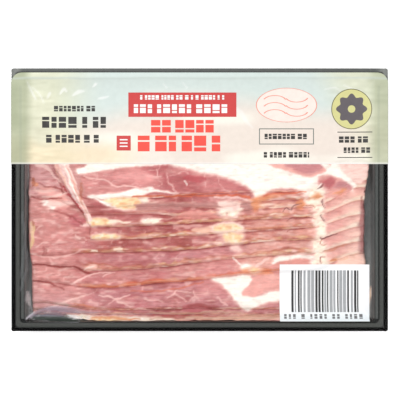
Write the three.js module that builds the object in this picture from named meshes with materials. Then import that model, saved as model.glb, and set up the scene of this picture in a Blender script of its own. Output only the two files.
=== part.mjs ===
// A sealed pack of streaky bacon, lying on its back: a shallow black tray, shingled rashers in it,
// a clear lid film over them, a printed band across the film's back half and a barcode label at its
// front right. Millimetres, +X along the rashers, +Y to the printed band, +Z up. The origin is at
// the centre of the face that the tray rests on.
import * as THREE from "three";

// The tray: a thin formed sheet with a sealing flange round a drafted pan
const PACK_LENGTH = 240;
const PACK_WIDTH = 167.6;
const FLANGE_TOP = 12;
const FLOOR_TOP = 0.8;
const CORNER_STEPS = 5;

// The tray's two skins, each loop an inset from the pack's ends, one from its sides, a height and
// a corner radius
const TRAY_LOWER = [
  { ends: 10.2, sides: 7.3, height: 0, radius: 4 },
  { ends: 9.2, sides: 6.2, height: 1.1, radius: 4 },
  { ends: 7.5, sides: 5.2, height: 10.2, radius: 3 },
  { ends: 7, sides: 4.8, height: 10.6, radius: 3 },
  { ends: 0, sides: 0, height: 10.9, radius: 1.4 },
];
const TRAY_UPPER = [
  { ends: 0, sides: 0, height: 11.4, radius: 1.4 },
  { ends: 0.5, sides: 0.5, height: FLANGE_TOP, radius: 1.4 },
  { ends: 2.2, sides: 2.2, height: FLANGE_TOP, radius: 1.6 },
  { ends: 2.9, sides: 2.9, height: 11.6, radius: 1.8 },
  { ends: 3.6, sides: 3.6, height: FLANGE_TOP, radius: 2 },
  { ends: 5.2, sides: 5.2, height: FLANGE_TOP, radius: 2.6 },
  { ends: 5.7, sides: 5.6, height: 11.3, radius: 3 },
  { ends: 8.2, sides: 6, height: 11.2, radius: 3 },
  { ends: 10, sides: 7, height: 1.2, radius: 4 },
  { ends: 10.6, sides: 7.4, height: FLOOR_TOP, radius: 4 },
];
const MOUTH = { ends: 8.6, sides: 6.3 };

// The rashers: slices laid one on another from the front of the tray to the back
const RASHER_THICKNESS = 1.5;
const EDGE_THICKNESS = 0.8;
const EDGE_RUN = 1.2;
const LAYER_GAP = 0.3;

// Each rasher's front edge: its level, its rise along the pack, its further rise at the left and
// right ends, and a swell of its own with the place of that. A slanted rasher is cut short at the
// left. The row that the back edge follows comes last.
const RASHERS = [
  { level: -76.2, rise: 0, left: 3.2, right: 1, swell: 0.3, at: 20, back: "edge_6" },
  { level: -73.6, rise: 0, left: 3.4, right: 1.5, swell: 0.2, at: -30, back: "edge_7" },
  { level: -70.8, rise: 0.4, left: 4.4, right: 3, swell: 0.4, at: 0, back: "edge_8" },
  { level: -56.8, rise: 15, left: 4.4, right: 7.5, swell: 0.8, at: 30, back: "edge_10" },
  { level: -44.8, rise: 10.4, left: 3.2, right: 7.5, swell: -0.9, at: -62, back: "edge_11" },
  { level: -33.9, rise: 8, left: -1.6, right: 8.5, swell: -1, at: -5, back: "back_1" },
  { level: -25.6, rise: 7.6, left: 0, right: 8.7, swell: -0.6, at: 28, back: "back_2" },
  { level: -17.4, rise: 6.2, left: 2, right: 10.6, swell: -0.5, at: 45, back: "back_3" },
  { level: -9.6, rise: 4.8, left: 10.8, right: 12.6, swell: -3.4, at: 2, back: "back_3" },
  { level: -4.8, rise: 5.2, left: 8.6, right: 12, swell: -3.2, at: 12, back: "back_4" },
  { level: 0.6, rise: 5, left: 5.6, right: 11.8, swell: 0.6, at: 8, back: "back_5" },
];
const SLANTED = [7, 8, 10, 11];
const RISE_SPAN = [-60, 75];
const LEFT_SPAN = [-100, -66];
const RIGHT_SPAN = [70, 104];
const SWELL_REACH = 24;

// Rows behind the last front edge, where back edges and the print's front edge lie
const BACK_ROWS = [
  { level: 12.4, right: 7.8 },
  { level: 22.8, right: 0 },
  { level: 34, right: 0 },
  { level: 44, right: 0 },
  { level: 54.5, right: 0 },
  { level: 65, right: 0 },
];
const PRINT_ROW = "back_2";

// The columns that all rashers share, from the left ends to the right ones. One follows the slant
// at which some are cut, and the last bow with the rashers' right ends.
const COLUMNS = [-109, -97, -80, -62, -40, -16, 10, 32, 50, 66, 80, 92, 102.7];
const SLANTED_COLUMN = -80;
const SLANT = { foot: -76.8, slope: -0.571, leftmost: -92, rightmost: -67 };
const BOW = { from: 70, middle: -22, curve: 0.002, most: 4 };

// The lid film and the print on it
const FILM_THICKNESS = 0.3;
const FILM_BACK = 81.1;
const FILM_CORNER = 7;
const FRONT_SAG = 7;
const BACK_SAG = 3;
const SAG_REACH = 6;
const SAG_SPAN = [-30, 30];
const PRINT_THICKNESS = 0.3;
const BARCODE = { left: 51.2, right: 108.4, front: -77.4, back: -41.3, across: 9, deep: 6 };

const BLACK_PLASTIC = { color: 0x2b2c2d, roughness: 0.35 };
const LEAN_MEAT = { color: 0xc9777a, roughness: 0.3 };
const CLEAR_FILM = { color: 0xffffff, roughness: 0.08, transparent: true, opacity: 0.25 };
const CREAM_INK = { color: 0xe9ebd9, roughness: 0.35 };
const WHITE_INK = { color: 0xfbfbfd, roughness: 0.4 };

const HALF_LENGTH = PACK_LENGTH / 2;
const HALF_WIDTH = PACK_WIDTH / 2;
const { clamp, lerp, smoothstep } = THREE.MathUtils;

// A closed body from points and triangles, with flat faces
function bodyOf(points, triangles) {
  const shared = new THREE.BufferGeometry();
  shared.setFromPoints(points);
  shared.setIndex(triangles);
  const faceted = shared.toNonIndexed();
  faceted.computeVertexNormals();
  return faceted;
}

function meshOf(name, geometry, look) {
  const mesh = new THREE.Mesh(geometry, new THREE.MeshStandardMaterial(look));
  mesh.name = name;
  return mesh;
}

// One loop of the tray: a rounded rectangle, anticlockwise from its right end
function trayLoop({ ends, sides, height, radius }) {
  const loop = [];
  const corners = [
    [1, 1],
    [-1, 1],
    [-1, -1],
    [1, -1],
  ];
  corners.forEach(([sideX, sideY], quarter) => {
    const centreX = sideX * (HALF_LENGTH - ends - radius);
    const centreY = sideY * (HALF_WIDTH - sides - radius);
    for (let step = 0; step <= CORNER_STEPS; step++) {
      const angle = ((quarter + step / CORNER_STEPS) * Math.PI) / 2;
      const x = centreX + radius * Math.cos(angle);
      const y = centreY + radius * Math.sin(angle);
      loop.push(new THREE.Vector3(x, y, height));
    }
  });
  return loop;
}

// The tray: loops lofted from the underside out to the flange's edge and back in to the floor
function makeTray() {
  const loops = [...TRAY_LOWER, ...TRAY_UPPER].map(trayLoop);
  const count = loops[0].length;
  const points = loops.flat();
  const triangles = [];
  for (let loop = 0; loop + 1 < loops.length; loop++) {
    for (let i = 0; i < count; i++) {
      const a = loop * count + i;
      const b = loop * count + ((i + 1) % count);
      triangles.push(a, b, b + count, a, b + count, a + count);
    }
  }
  const underside = points.push(new THREE.Vector3(0, 0, 0)) - 1;
  const floor = points.push(new THREE.Vector3(0, 0, FLOOR_TOP)) - 1;
  const last = (loops.length - 1) * count;
  for (let i = 0; i < count; i++) {
    const next = (i + 1) % count;
    triangles.push(underside, next, i);
    triangles.push(floor, last + i, last + next);
  }
  return meshOf("tray", bodyOf(points, triangles), BLACK_PLASTIC);
}

// Where a rasher's front edge, or another row, lies at a place along the pack
function rowPlace({ level, rise = 0, left = 0, right = 0, swell = 0, at = 0 }, x) {
  const risen = rise * smoothstep(x, ...RISE_SPAN);
  const atLeft = left * (1 - smoothstep(x, ...LEFT_SPAN));
  const atRight = right * smoothstep(x, ...RIGHT_SPAN);
  const swollen = swell * Math.exp(-(((x - at) / SWELL_REACH) ** 2));
  return level + risen + atLeft + atRight + swollen;
}

// The grid that all rashers and the film share, so that no layer cuts another. Its rows run along
// the pack and its columns across it.
const straightRow = (name, y) => ({ name, at: () => y });
const rows = [
  straightRow("edge_of_film", -HALF_WIDTH),
  straightRow("mouth_front", -HALF_WIDTH + MOUTH.sides),
  ...RASHERS.flatMap((rasher, index) => [
    { name: `edge_${index + 1}`, at: (x) => rowPlace(rasher, x) },
    { name: `full_${index + 1}`, at: (x) => rowPlace(rasher, x) + EDGE_RUN },
  ]),
  ...BACK_ROWS.map((row, index) => ({ name: `back_${index + 1}`, at: (x) => rowPlace(row, x) })),
  straightRow("mouth_back", HALF_WIDTH - MOUTH.sides),
  straightRow("back_of_film", FILM_BACK),
];
const rowIndex = (name) => rows.findIndex((row) => row.name === name);

const columns = [
  -HALF_LENGTH,
  -HALF_LENGTH + MOUTH.ends,
  ...COLUMNS,
  HALF_LENGTH - MOUTH.ends,
  HALF_LENGTH,
];
const leftEnd = columns.indexOf(COLUMNS[0]);
const slantedEnd = columns.indexOf(SLANTED_COLUMN);
const rightEnd = columns.indexOf(COLUMNS.at(-1));

// A grid point's place along the pack, which bows at the right ends and slants at the left
function columnPlace(column, y) {
  if (column < leftEnd || column > rightEnd) return columns[column];
  if (column === slantedEnd) return clamp(SLANT.foot + SLANT.slope * y, SLANT.leftmost, SLANT.rightmost);
  const share = smoothstep(columns[column], BOW.from, COLUMNS.at(-1));
  return columns[column] + share * Math.min(BOW.curve * (y - BOW.middle) ** 2, BOW.most);
}

const grid = rows.map((row) =>
  columns.map((nominal, column) => {
    const y = row.at(nominal);
    return { x: columnPlace(column, y), y };
  }),
);

// The top of what lies on the tray's floor so far, at each grid point
const heights = grid.map((line) => line.map(() => FLOOR_TOP));

// A slab on a block of grid points, closed round its rim, with both faces split into triangles alike
function slabOn(block, place, upper, lower) {
  const [firstRow, lastRow, firstColumn, lastColumn] = block;
  const wide = lastColumn - firstColumn + 1;
  const deep = lastRow - firstRow + 1;
  const points = [];
  for (const height of [upper, lower]) {
    for (let row = firstRow; row <= lastRow; row++) {
      for (let column = firstColumn; column <= lastColumn; column++) {
        const { x, y } = place(row, column);
        points.push(new THREE.Vector3(x, y, height(row, column)));
      }
    }
  }
  const under = wide * deep;
  const at = (row, column) => row * wide + column;
  const triangles = [];
  for (let row = 0; row + 1 < deep; row++) {
    for (let column = 0; column + 1 < wide; column++) {
      const a = at(row, column);
      const b = at(row, column + 1);
      const c = at(row + 1, column + 1);
      const d = at(row + 1, column);
      triangles.push(a, b, c, a, c, d);
      triangles.push(under + a, under + c, under + b, under + a, under + d, under + c);
    }
  }
  const rim = [];
  for (let column = 0; column < wide - 1; column++) rim.push(at(0, column));
  for (let row = 0; row < deep - 1; row++) rim.push(at(row, wide - 1));
  for (let column = wide - 1; column > 0; column--) rim.push(at(deep - 1, column));
  for (let row = deep - 1; row > 0; row--) rim.push(at(row, 0));
  rim.forEach((a, i) => {
    const b = rim[(i + 1) % rim.length];
    triangles.push(under + a, under + b, b, under + a, b, a);
  });
  return bodyOf(points, triangles);
}

const gridPlace = (row, column) => grid[row][column];

// Lays one slice, thinner at its rim, on what is already there
function layRasher(name, block) {
  const [firstRow, lastRow, firstColumn, lastColumn] = block;
  const lower = heights.map((line) => line.map((height) => height + LAYER_GAP));
  for (let row = firstRow; row <= lastRow; row++) {
    for (let column = firstColumn; column <= lastColumn; column++) {
      const acrossRim = row === firstRow || row === lastRow;
      const alongRim = column === firstColumn || column === lastColumn;
      const thickness = acrossRim || alongRim ? EDGE_THICKNESS : RASHER_THICKNESS;
      heights[row][column] = lower[row][column] + thickness;
    }
  }
  const upperAt = heights.map((line) => [...line]);
  const body = slabOn(block, gridPlace, (r, c) => upperAt[r][c], (r, c) => lower[r][c]);
  return meshOf(name, body, LEAN_MEAT);
}

// The rashers, from the lowest at the front to the highest at the back
function makeRashers() {
  return RASHERS.map(({ back }, index) => {
    const number = index + 1;
    const start = SLANTED.includes(number) ? slantedEnd : leftEnd;
    const block = [rowIndex(`edge_${number}`), rowIndex(back), start, rightEnd];
    return layRasher(`rasher_${String(number).padStart(2, "0")}`, block);
  });
}

// The film's underside: flat on the flange, hanging into the pan and lying on the rashers
function filmHeight(row, column) {
  const { x, y } = grid[row][column];
  const fromEnds = HALF_LENGTH - MOUTH.ends - Math.abs(x);
  const fromSides = HALF_WIDTH - MOUTH.sides - Math.abs(y);
  const inside = Math.max(Math.min(fromEnds, fromSides), 0);
  const sag = lerp(FRONT_SAG, BACK_SAG, smoothstep(y, ...SAG_SPAN));
  const hanging = FLANGE_TOP - sag * (1 - Math.exp(-inside / SAG_REACH));
  return Math.max(hanging, heights[row][column]) + LAYER_GAP;
}

// The film's back corners are cut round
function filmPlace(row, column) {
  const { x, y } = grid[row][column];
  const beyondX = Math.abs(x) - (HALF_LENGTH - FILM_CORNER);
  const beyondY = y - (FILM_BACK - FILM_CORNER);
  const reach = Math.hypot(beyondX, beyondY);
  if (beyondX <= 0 || beyondY <= 0 || reach <= FILM_CORNER) return { x, y };
  const share = FILM_CORNER / reach;
  return {
    x: Math.sign(x) * (HALF_LENGTH - FILM_CORNER + beyondX * share),
    y: FILM_BACK - FILM_CORNER + beyondY * share,
  };
}

const filmTop = (row, column) => filmHeight(row, column) + FILM_THICKNESS;
const lastRow = rows.length - 1;
const lastColumn = columns.length - 1;

function makeFilm() {
  const block = [0, lastRow, 0, lastColumn];
  return meshOf("lid_film", slabOn(block, filmPlace, filmTop, filmHeight), CLEAR_FILM);
}

// The printed band across the film's back part
function makeBand() {
  const block = [rowIndex(PRINT_ROW), lastRow, 0, lastColumn];
  const lower = (row, column) => filmTop(row, column) + LAYER_GAP;
  const upper = (row, column) => lower(row, column) + PRINT_THICKNESS;
  return meshOf("printed_band", slabOn(block, filmPlace, upper, lower), CREAM_INK);
}

// The film's top at any place, read from the triangle of the grid that holds it
function filmTopAt(x, y) {
  const place = new THREE.Vector3(x, y, 0);
  const weights = new THREE.Vector3();
  for (let row = 0; row < lastRow; row++) {
    for (let column = 0; column < lastColumn; column++) {
      for (const [dr, dc] of [[0, 1], [1, 0]]) {
        const corners = [[row, column], [row + dr, column + dc], [row + 1, column + 1]];
        const flat = corners.map(([r, c]) => new THREE.Vector3(grid[r][c].x, grid[r][c].y, 0));
        THREE.Triangle.getBarycoord(place, ...flat, weights);
        if (Math.min(weights.x, weights.y, weights.z) < 0) continue;
        const [a, b, c] = corners.map((corner) => filmTop(...corner));
        return a * weights.x + b * weights.y + c * weights.z;
      }
    }
  }
  return FLANGE_TOP;
}

// The barcode label: a thin patch that follows the film under it
function makeBarcode() {
  const { left, right, front, back, across, deep } = BARCODE;
  const stepX = (right - left) / across;
  const stepY = (back - front) / deep;
  const nearby = [-0.5, 0, 0.5];
  const place = (row, column) => ({ x: left + column * stepX, y: front + row * stepY });
  const lower = (row, column) => {
    const { x, y } = place(row, column);
    const around = nearby.flatMap((i) => nearby.map((j) => filmTopAt(x + i * stepX, y + j * stepY)));
    return Math.max(...around) + LAYER_GAP;
  };
  const upper = (row, column) => lower(row, column) + PRINT_THICKNESS;
  return meshOf("barcode_label", slabOn([0, deep, 0, across], place, upper, lower), WHITE_INK);
}

const pack = new THREE.Group();
pack.name = "bacon_pack";
pack.add(makeTray(), ...makeRashers(), makeFilm(), makeBand(), makeBarcode());

export default pack;
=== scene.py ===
"""The looks of a sealed pack of streaky bacon, built round the frame's parts: a black tray,
shingled rashers under a clear film, and the print on that film. Places and sizes are in
millimetres in the frame's own axes: +X along the rashers, +Y to the printed band, +Z up.
Colours are red, green and blue from 0 to 255, as they look on a screen."""

import bpy
import numpy as np
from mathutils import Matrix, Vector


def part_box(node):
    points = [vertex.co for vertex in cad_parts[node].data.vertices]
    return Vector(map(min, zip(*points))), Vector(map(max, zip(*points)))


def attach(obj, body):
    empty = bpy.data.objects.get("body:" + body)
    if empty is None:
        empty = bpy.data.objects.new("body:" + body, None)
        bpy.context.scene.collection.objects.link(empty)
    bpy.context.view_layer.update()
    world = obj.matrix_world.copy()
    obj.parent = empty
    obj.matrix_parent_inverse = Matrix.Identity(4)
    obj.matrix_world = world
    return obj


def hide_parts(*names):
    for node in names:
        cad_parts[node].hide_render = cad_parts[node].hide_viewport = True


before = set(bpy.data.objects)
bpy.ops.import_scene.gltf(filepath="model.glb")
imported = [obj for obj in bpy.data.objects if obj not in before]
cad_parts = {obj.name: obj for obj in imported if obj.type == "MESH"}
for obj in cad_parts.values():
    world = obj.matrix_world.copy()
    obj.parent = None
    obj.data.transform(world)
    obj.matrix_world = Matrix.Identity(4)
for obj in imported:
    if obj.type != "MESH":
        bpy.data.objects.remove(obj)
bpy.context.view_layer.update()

# Sizes that the frame's parts give
MM = 0.001


def corners(node):
    """A frame part's lowest and highest corner, in millimetres."""
    low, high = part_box(node)
    return np.array(low) / MM, np.array(high) / MM


HALF_LENGTH, HALF_WIDTH, FLANGE_TOP = corners("tray")[1]
FILM_BACK = corners("lid_film")[1][1]
PRINT_FRONT = corners("printed_band")[0][1]
BARCODE_LOW, BARCODE_HIGH = corners("barcode_label")

# The tray's floor and the layers on it
FLOOR_TOP = 0.8
SLICE_THICKNESS = 1.55
RIM_THICKNESS = 0.14
LAYER_GAP = 0.03
PRESSED = 0.45
PRESSED_FROM = (9.5, 12.5)
WALL_CLIMB = 7
FRONT_BEVEL = 2.2
OTHER_BEVEL = 1.4

# Each rasher's front edge: its level, its rise along the pack, its further rise at the left and
# right ends, and a swell of its own with the place of that. Then the row that its back edge
# follows, and how far behind its front edge it can be seen.
RASHERS = [
    dict(level=-77.3, rise=0, left=3.4, right=1, swell=0.2, at=20, back="edge_6", seen=5),
    dict(level=-74.1, rise=0, left=3.4, right=1.5, swell=0.2, at=-30, back="edge_7", seen=5),
    dict(level=-70.8, rise=0.4, left=4.4, right=3, swell=0.4, at=0, back="edge_8", seen=31),
    dict(level=-56.9, rise=12.4, left=4.4, right=10, swell=1.4, at=-30, back="edge_10", seen=15),
    dict(level=-44.8, rise=10.4, left=3.2, right=7.5, swell=-0.9, at=-62, back="edge_11", seen=13),
    dict(level=-33.9, rise=8, left=-1.6, right=8.5, swell=-1, at=-5, back="back_1", seen=38),
    dict(level=-25.6, rise=7.6, left=0, right=8.7, swell=-0.6, at=28, back="back_2", seen=11),
    dict(level=-17.4, rise=6.2, left=2, right=10.6, swell=-0.5, at=45, back="back_3", seen=12),
    dict(level=-9.6, rise=4.8, left=10.8, right=12.6, swell=-3.4, at=2, back="back_3", seen=27),
    dict(level=-4.8, rise=5.2, left=8.6, right=12, swell=-3.2, at=12, back="back_4", seen=12),
    dict(level=0.6, rise=5, left=5.6, right=11.8, swell=0.6, at=8, back="back_5", seen=25),
]
BACK_ROWS = {
    "back_1": dict(level=12.4, right=7.8),
    "back_2": dict(level=22.8),
    "back_3": dict(level=34),
    "back_4": dict(level=44),
    "back_5": dict(level=54.5),
}
SLANTED = (7, 8, 10, 11)
LEFT_END = -110
SLANTED_END = -82
RIGHT_END = 105
SWELL_REACH = 24
# The rasher whose end reaches out past the label
BULGING = 3

# Grids: what height fields use, and how finely the rashers and the film are divided
FIELD_STEP = 0.5
RASHER_STEP = 0.7
ROW_STEP = 0.6
# Rows behind a rasher's front edge, then shares of the part that the next rasher hides
EDGE_ROWS = (0, 0.12, 0.35, 0.7, 1.1, 1.6)
FIRST_EVEN_ROW = 2.2
HIDDEN_ROWS = (0.2, 0.45, 0.7, 0.85, 0.94, 0.98, 1)
FILM_STEP = 0.9
PRINT_STEP = 0.8

# Meat
LEAN = (200, 134, 136)
LIGHT_LEAN = (214, 148, 142)
DEEP_LEAN = (192, 104, 108)
MAUVE = (172, 88, 84)
ROSE = (184, 102, 102)
LILAC = (216, 162, 162)
DUSK = (194, 136, 130)
WARM_PINK = (224, 152, 142)
PALE_STRIP = (236, 180, 164)
PALE_GREY_PINK = (226, 200, 196)
SALMON = (238, 176, 166)
PALE_SALMON = (250, 206, 190)
BLOOD = (186, 78, 84)
DARK_RED = (142, 58, 54)
SHADOW = (96, 42, 44)
TAN = (220, 154, 130)
PALE_TAN = (240, 194, 170)
BROWN = (176, 94, 68)
ORANGE = (212, 106, 74)
PALE_ORANGE = (238, 156, 116)
RUST = (204, 122, 92)
AMBER = (230, 152, 108)
SAND = (230, 194, 146)
DULL_TAN = (206, 134, 112)
FAWN = (216, 174, 152)
BLUSH = (230, 160, 156)
FAT = (255, 250, 240)
CREAM = (254, 240, 220)
YELLOW_FAT = (248, 220, 172)
PINK_FAT = (248, 214, 204)
VEIN = (244, 200, 192)


def smooth(low, high, value):
    """0 below low, 1 above high and an even turn between them."""
    share = np.clip((value - low) / (high - low), 0, 1)
    return share * share * (3 - 2 * share)


def noise(x, y, size, seed):
    """Soft lumps of about that size, from -1 to 1."""
    table = np.random.default_rng(seed).uniform(-1, 1, (256, 256))
    u, v = np.asarray(x) / size, np.asarray(y) / size
    column, row = np.floor(u).astype(int), np.floor(v).astype(int)
    s, t = smooth(0, 1, u - column), smooth(0, 1, v - row)

    def knot(right, up):
        return table[(row + up) % 256, (column + right) % 256]

    low = knot(0, 0) * (1 - s) + knot(1, 0) * s
    high = knot(0, 1) * (1 - s) + knot(1, 1) * s
    return low * (1 - t) + high * t


def covered(paint, colour, share):
    """The paint with a share of another colour over it."""
    return paint + (np.asarray(colour, float) - paint) * np.asarray(share)[..., None]


def flat_paint(colour, count):
    """One colour for so many points."""
    return np.tile(np.asarray(colour, float), (count, 1))


def bell(distance, width):
    """1 where the distance is 0, and next to nothing at twice the width."""
    return np.exp(-((distance / width) ** 2))


def linear(colour):
    """A screen colour as the shaders take it."""
    share = np.asarray(colour, float) / 255
    return np.where(share <= 0.04045, share / 12.92, ((share + 0.055) / 1.055) ** 2.4)


# Where the rashers' edges lie
def row_place(x, level, rise=0, left=0, right=0, swell=0, at=0, **_):
    """How far back a row lies at a place along the pack."""
    risen = rise * smooth(-60, 75, x)
    ends = left * (1 - smooth(-100, -66, x)) + right * smooth(70, 104, x)
    return level + risen + ends + swell * bell(x - at, SWELL_REACH)


def front_edge(number, x):
    """Where a rasher's front edge lies, with its own small waves."""
    waves = 0.3 * noise(x, number * 31.7, 9, 5) + 0.18 * noise(x, number * 17.3, 3.4, 6)
    return row_place(x, **RASHERS[number - 1]) + waves


def back_edge(number, x):
    """Where a rasher's back edge lies: on a row of its own or under a higher rasher's front."""
    row = RASHERS[number - 1]["back"]
    if row in BACK_ROWS:
        return row_place(x, **BACK_ROWS[row])
    return front_edge(int(row.removeprefix("edge_")), x)


def left_end(number, y):
    """Where a rasher's left end lies, on the slanted line or near the wall."""
    if number in SLANTED:
        return np.clip(-80.4 - 0.62 * y, -93.5, -70) + 0.6 * noise(y, number * 11.3, 3, 7)
    return LEFT_END + 2.4 * smooth(10, 50, -y) + 0.4 * noise(y, number * 7.1, 5, 8)


def right_end(number, y):
    """Where a rasher's right end lies: bowed out at the back and uneven in front."""
    bow = np.minimum(0.002 * (y + 22) ** 2, 4) * smooth(-30, -20, y)
    bulge = 1.6 * bell(y + 60, 4) * (number == BULGING)
    bulge = bulge + 0.9 * smooth(0, -12, y) + 1.2 * smooth(-32, -40, y)
    return RIGHT_END + bow + bulge - 0.5 + 0.5 * noise(y, number * 5.9, 4, 9)


# Height fields over the whole pack
FIELD_X = np.arange(-HALF_LENGTH, HALF_LENGTH + FIELD_STEP, FIELD_STEP)
FIELD_Y = np.arange(-HALF_WIDTH, HALF_WIDTH + FIELD_STEP, FIELD_STEP)
GRID_X, GRID_Y = np.meshgrid(FIELD_X, FIELD_Y)


def field_at(field, x, y):
    """A height field's value at any places, between its own points."""
    u = np.clip((x - FIELD_X[0]) / FIELD_STEP, 0, len(FIELD_X) - 1.001)
    v = np.clip((y - FIELD_Y[0]) / FIELD_STEP, 0, len(FIELD_Y) - 1.001)
    column, row = u.astype(int), v.astype(int)
    s, t = u - column, v - row
    low = field[row, column] * (1 - s) + field[row, column + 1] * s
    high = field[row + 1, column] * (1 - s) + field[row + 1, column + 1] * s
    return low * (1 - t) + high * t


def highest_near(field, reach):
    """The highest value within a square reach of each point."""
    steps = round(reach / FIELD_STEP)
    for axis in (0, 1):
        shifts = range(-steps, steps + 1)
        field = np.max([np.roll(field, shift, axis) for shift in shifts], axis=0)
    return field


def blurred(field, spread):
    steps = round(3 * spread / FIELD_STEP)
    shifts = range(-steps, steps + 1)
    weights = [np.exp(-((shift * FIELD_STEP / spread) ** 2) / 2) for shift in shifts]
    for axis in (0, 1):
        shifted = [np.roll(field, shift, axis) * w for shift, w in zip(shifts, weights)]
        field = np.sum(shifted, axis=0) / sum(weights)
    return field


def slice_thickness(number, x, y):
    """A rasher's thickness, rounded off to its rim, and 0 beyond it."""
    bevel = FRONT_BEVEL * (1 + 1.2 * smooth(70, 84, x))
    rims = [
        (y - front_edge(number, x)) / bevel,
        (back_edge(number, x) - y) / OTHER_BEVEL,
        (x - left_end(number, y)) / OTHER_BEVEL,
        (right_end(number, y) - x) / OTHER_BEVEL,
    ]
    inward = np.min(rims, axis=0)
    round_off = np.sin(np.pi / 2 * np.clip(inward, 0, 1))
    relief = 0.16 * noise(x / 4, y, 2.6, 20 + number) + 0.1 * noise(x, y, 3.5, 40 + number)
    full = RIM_THICKNESS + (SLICE_THICKNESS - RIM_THICKNESS + relief) * round_off
    return np.where(inward < -1e-6, 0, full)


def pressed(thickness, support):
    """A rasher's thickness, less where the pile under it is high and the film presses on it."""
    return thickness * (1 - PRESSED * smooth(*PRESSED_FROM, support))


def stack_rashers():
    """What each rasher lies on, from the lowest to the highest, and the top of them all."""
    top = FLOOR_TOP + WALL_CLIMB * smooth(-75.5, -77.6, GRID_Y)
    supports = []
    for number in range(1, len(RASHERS) + 1):
        draped = blurred(highest_near(top, 1), 0.5)
        behind = GRID_Y - front_edge(number, GRID_X)
        support = top + (np.maximum(draped, top) - top) * smooth(0.2, 2, behind) + LAYER_GAP
        supports.append(support)
        thickness = pressed(slice_thickness(number, GRID_X, GRID_Y), support)
        top = np.where(thickness > 0, support + thickness, top)
    return supports, top


SUPPORTS, STACK_TOP = stack_rashers()

# The film: flat on the flange, hanging into the pan and lying on the rashers
MOUTH_ENDS = 8.6
MOUTH_SIDES = 6.3
FILM_CORNER = 7
FILM_GAP = 0.15
FILM_LIMIT = 12.85


def film_field():
    """The film's height over the whole pack."""
    from_ends = HALF_LENGTH - MOUTH_ENDS - np.abs(GRID_X)
    from_sides = HALF_WIDTH - MOUTH_SIDES - np.abs(GRID_Y)
    inside = np.maximum(np.minimum(from_ends, from_sides), 0)
    sag = 7 - 4 * smooth(-30, 30, GRID_Y)
    hanging = FLANGE_TOP - sag * (1 - np.exp(-inside / 6))
    lying = blurred(highest_near(STACK_TOP, 1.5), 0.7)
    flat = np.maximum(hanging, lying) + FILM_GAP
    inner = smooth(0, 3, inside)
    creases = 0.12 * np.abs(noise(GRID_X, GRID_Y / 3, 4, 61)) + 0.06 * noise(GRID_X, GRID_Y, 3, 62)
    return np.minimum(flat + creases * inner + wall_folds(inside), FILM_LIMIT)


def wall_folds(inside):
    """Folds where the film goes down at the left wall and round the rashers' front left corner."""
    left = smooth(-99, -112, GRID_X) * smooth(24, 8, GRID_Y) * smooth(0, 1.5, inside)
    wave = np.sin(GRID_X * 2.1 + 1.6 * np.sin(GRID_Y / 6.5) + 0.8 * noise(GRID_X, GRID_Y, 9, 63))
    corner = smooth(-55, -75, GRID_X) * smooth(-58, -68, GRID_Y) * smooth(0, 1.5, inside)
    along = GRID_Y - 0.16 * GRID_X + 1.2 * np.sin(GRID_X / 8)
    ripple = np.sin(along * 1.7 + noise(GRID_X, GRID_Y, 7, 64))
    return 0.3 * left * (1 + wave) + 0.4 * corner * (1 + ripple)


FILM = film_field()


# Meshes
def rim_of(rows, columns):
    """A grid's outermost points in order, as numbers in the grid."""
    numbers = np.arange(rows * columns).reshape(rows, columns)
    sides = [numbers[0, :-1], numbers[:-1, -1], numbers[-1, :0:-1], numbers[:0:-1, 0]]
    return np.concatenate(sides)


def grid_faces(rows, columns):
    numbers = np.arange(rows * columns).reshape(rows, columns)
    square = [numbers[:-1, :-1], numbers[:-1, 1:], numbers[1:, 1:], numbers[1:, :-1]]
    return np.stack([corner.ravel() for corner in square], axis=1)


def slab_points(x, y, lower, upper):
    """The points of a slab, those of its upper grid first."""
    return np.concatenate([np.stack([x, y, upper], 1), np.stack([x, y, lower], 1)])


def slab_faces(rows, columns):
    """The faces of a closed slab whose upper grid's points come before its lower grid's."""
    upper = grid_faces(rows, columns)
    rim = rim_of(rows, columns)
    following = np.roll(rim, -1)
    under = rows * columns
    wall = np.stack([rim + under, following + under, following, rim], axis=1)
    return np.concatenate([upper, upper[:, ::-1] + under, wall])


def piece(name, points, faces, material, stands_for=(), paint=None, haze_and_painted_light=None):
    """A smooth mesh that rides on the pack, with a colour at each point if it is painted."""
    mesh = bpy.data.meshes.new(name)
    faces = faces if isinstance(faces, list) else faces.tolist()
    mesh.from_pydata((np.asarray(points) * MM).tolist(), [], faces)
    mesh.polygons.foreach_set("use_smooth", [True] * len(mesh.polygons))
    if paint is not None:
        strength = np.ones(len(paint)) if haze_and_painted_light is None else haze_and_painted_light
        colours = np.column_stack([linear(np.clip(paint, 0, 255)), strength])
        layer = mesh.color_attributes.new("Paint", "FLOAT_COLOR", "POINT")
        layer.data.foreach_set("color", colours.astype(np.float32).ravel())
    mesh.materials.append(material)
    made = bpy.data.objects.new(name, mesh)
    bpy.context.scene.collection.objects.link(made)
    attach(made, "root")
    if stands_for:
        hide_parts(*stands_for)
    return made


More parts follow.
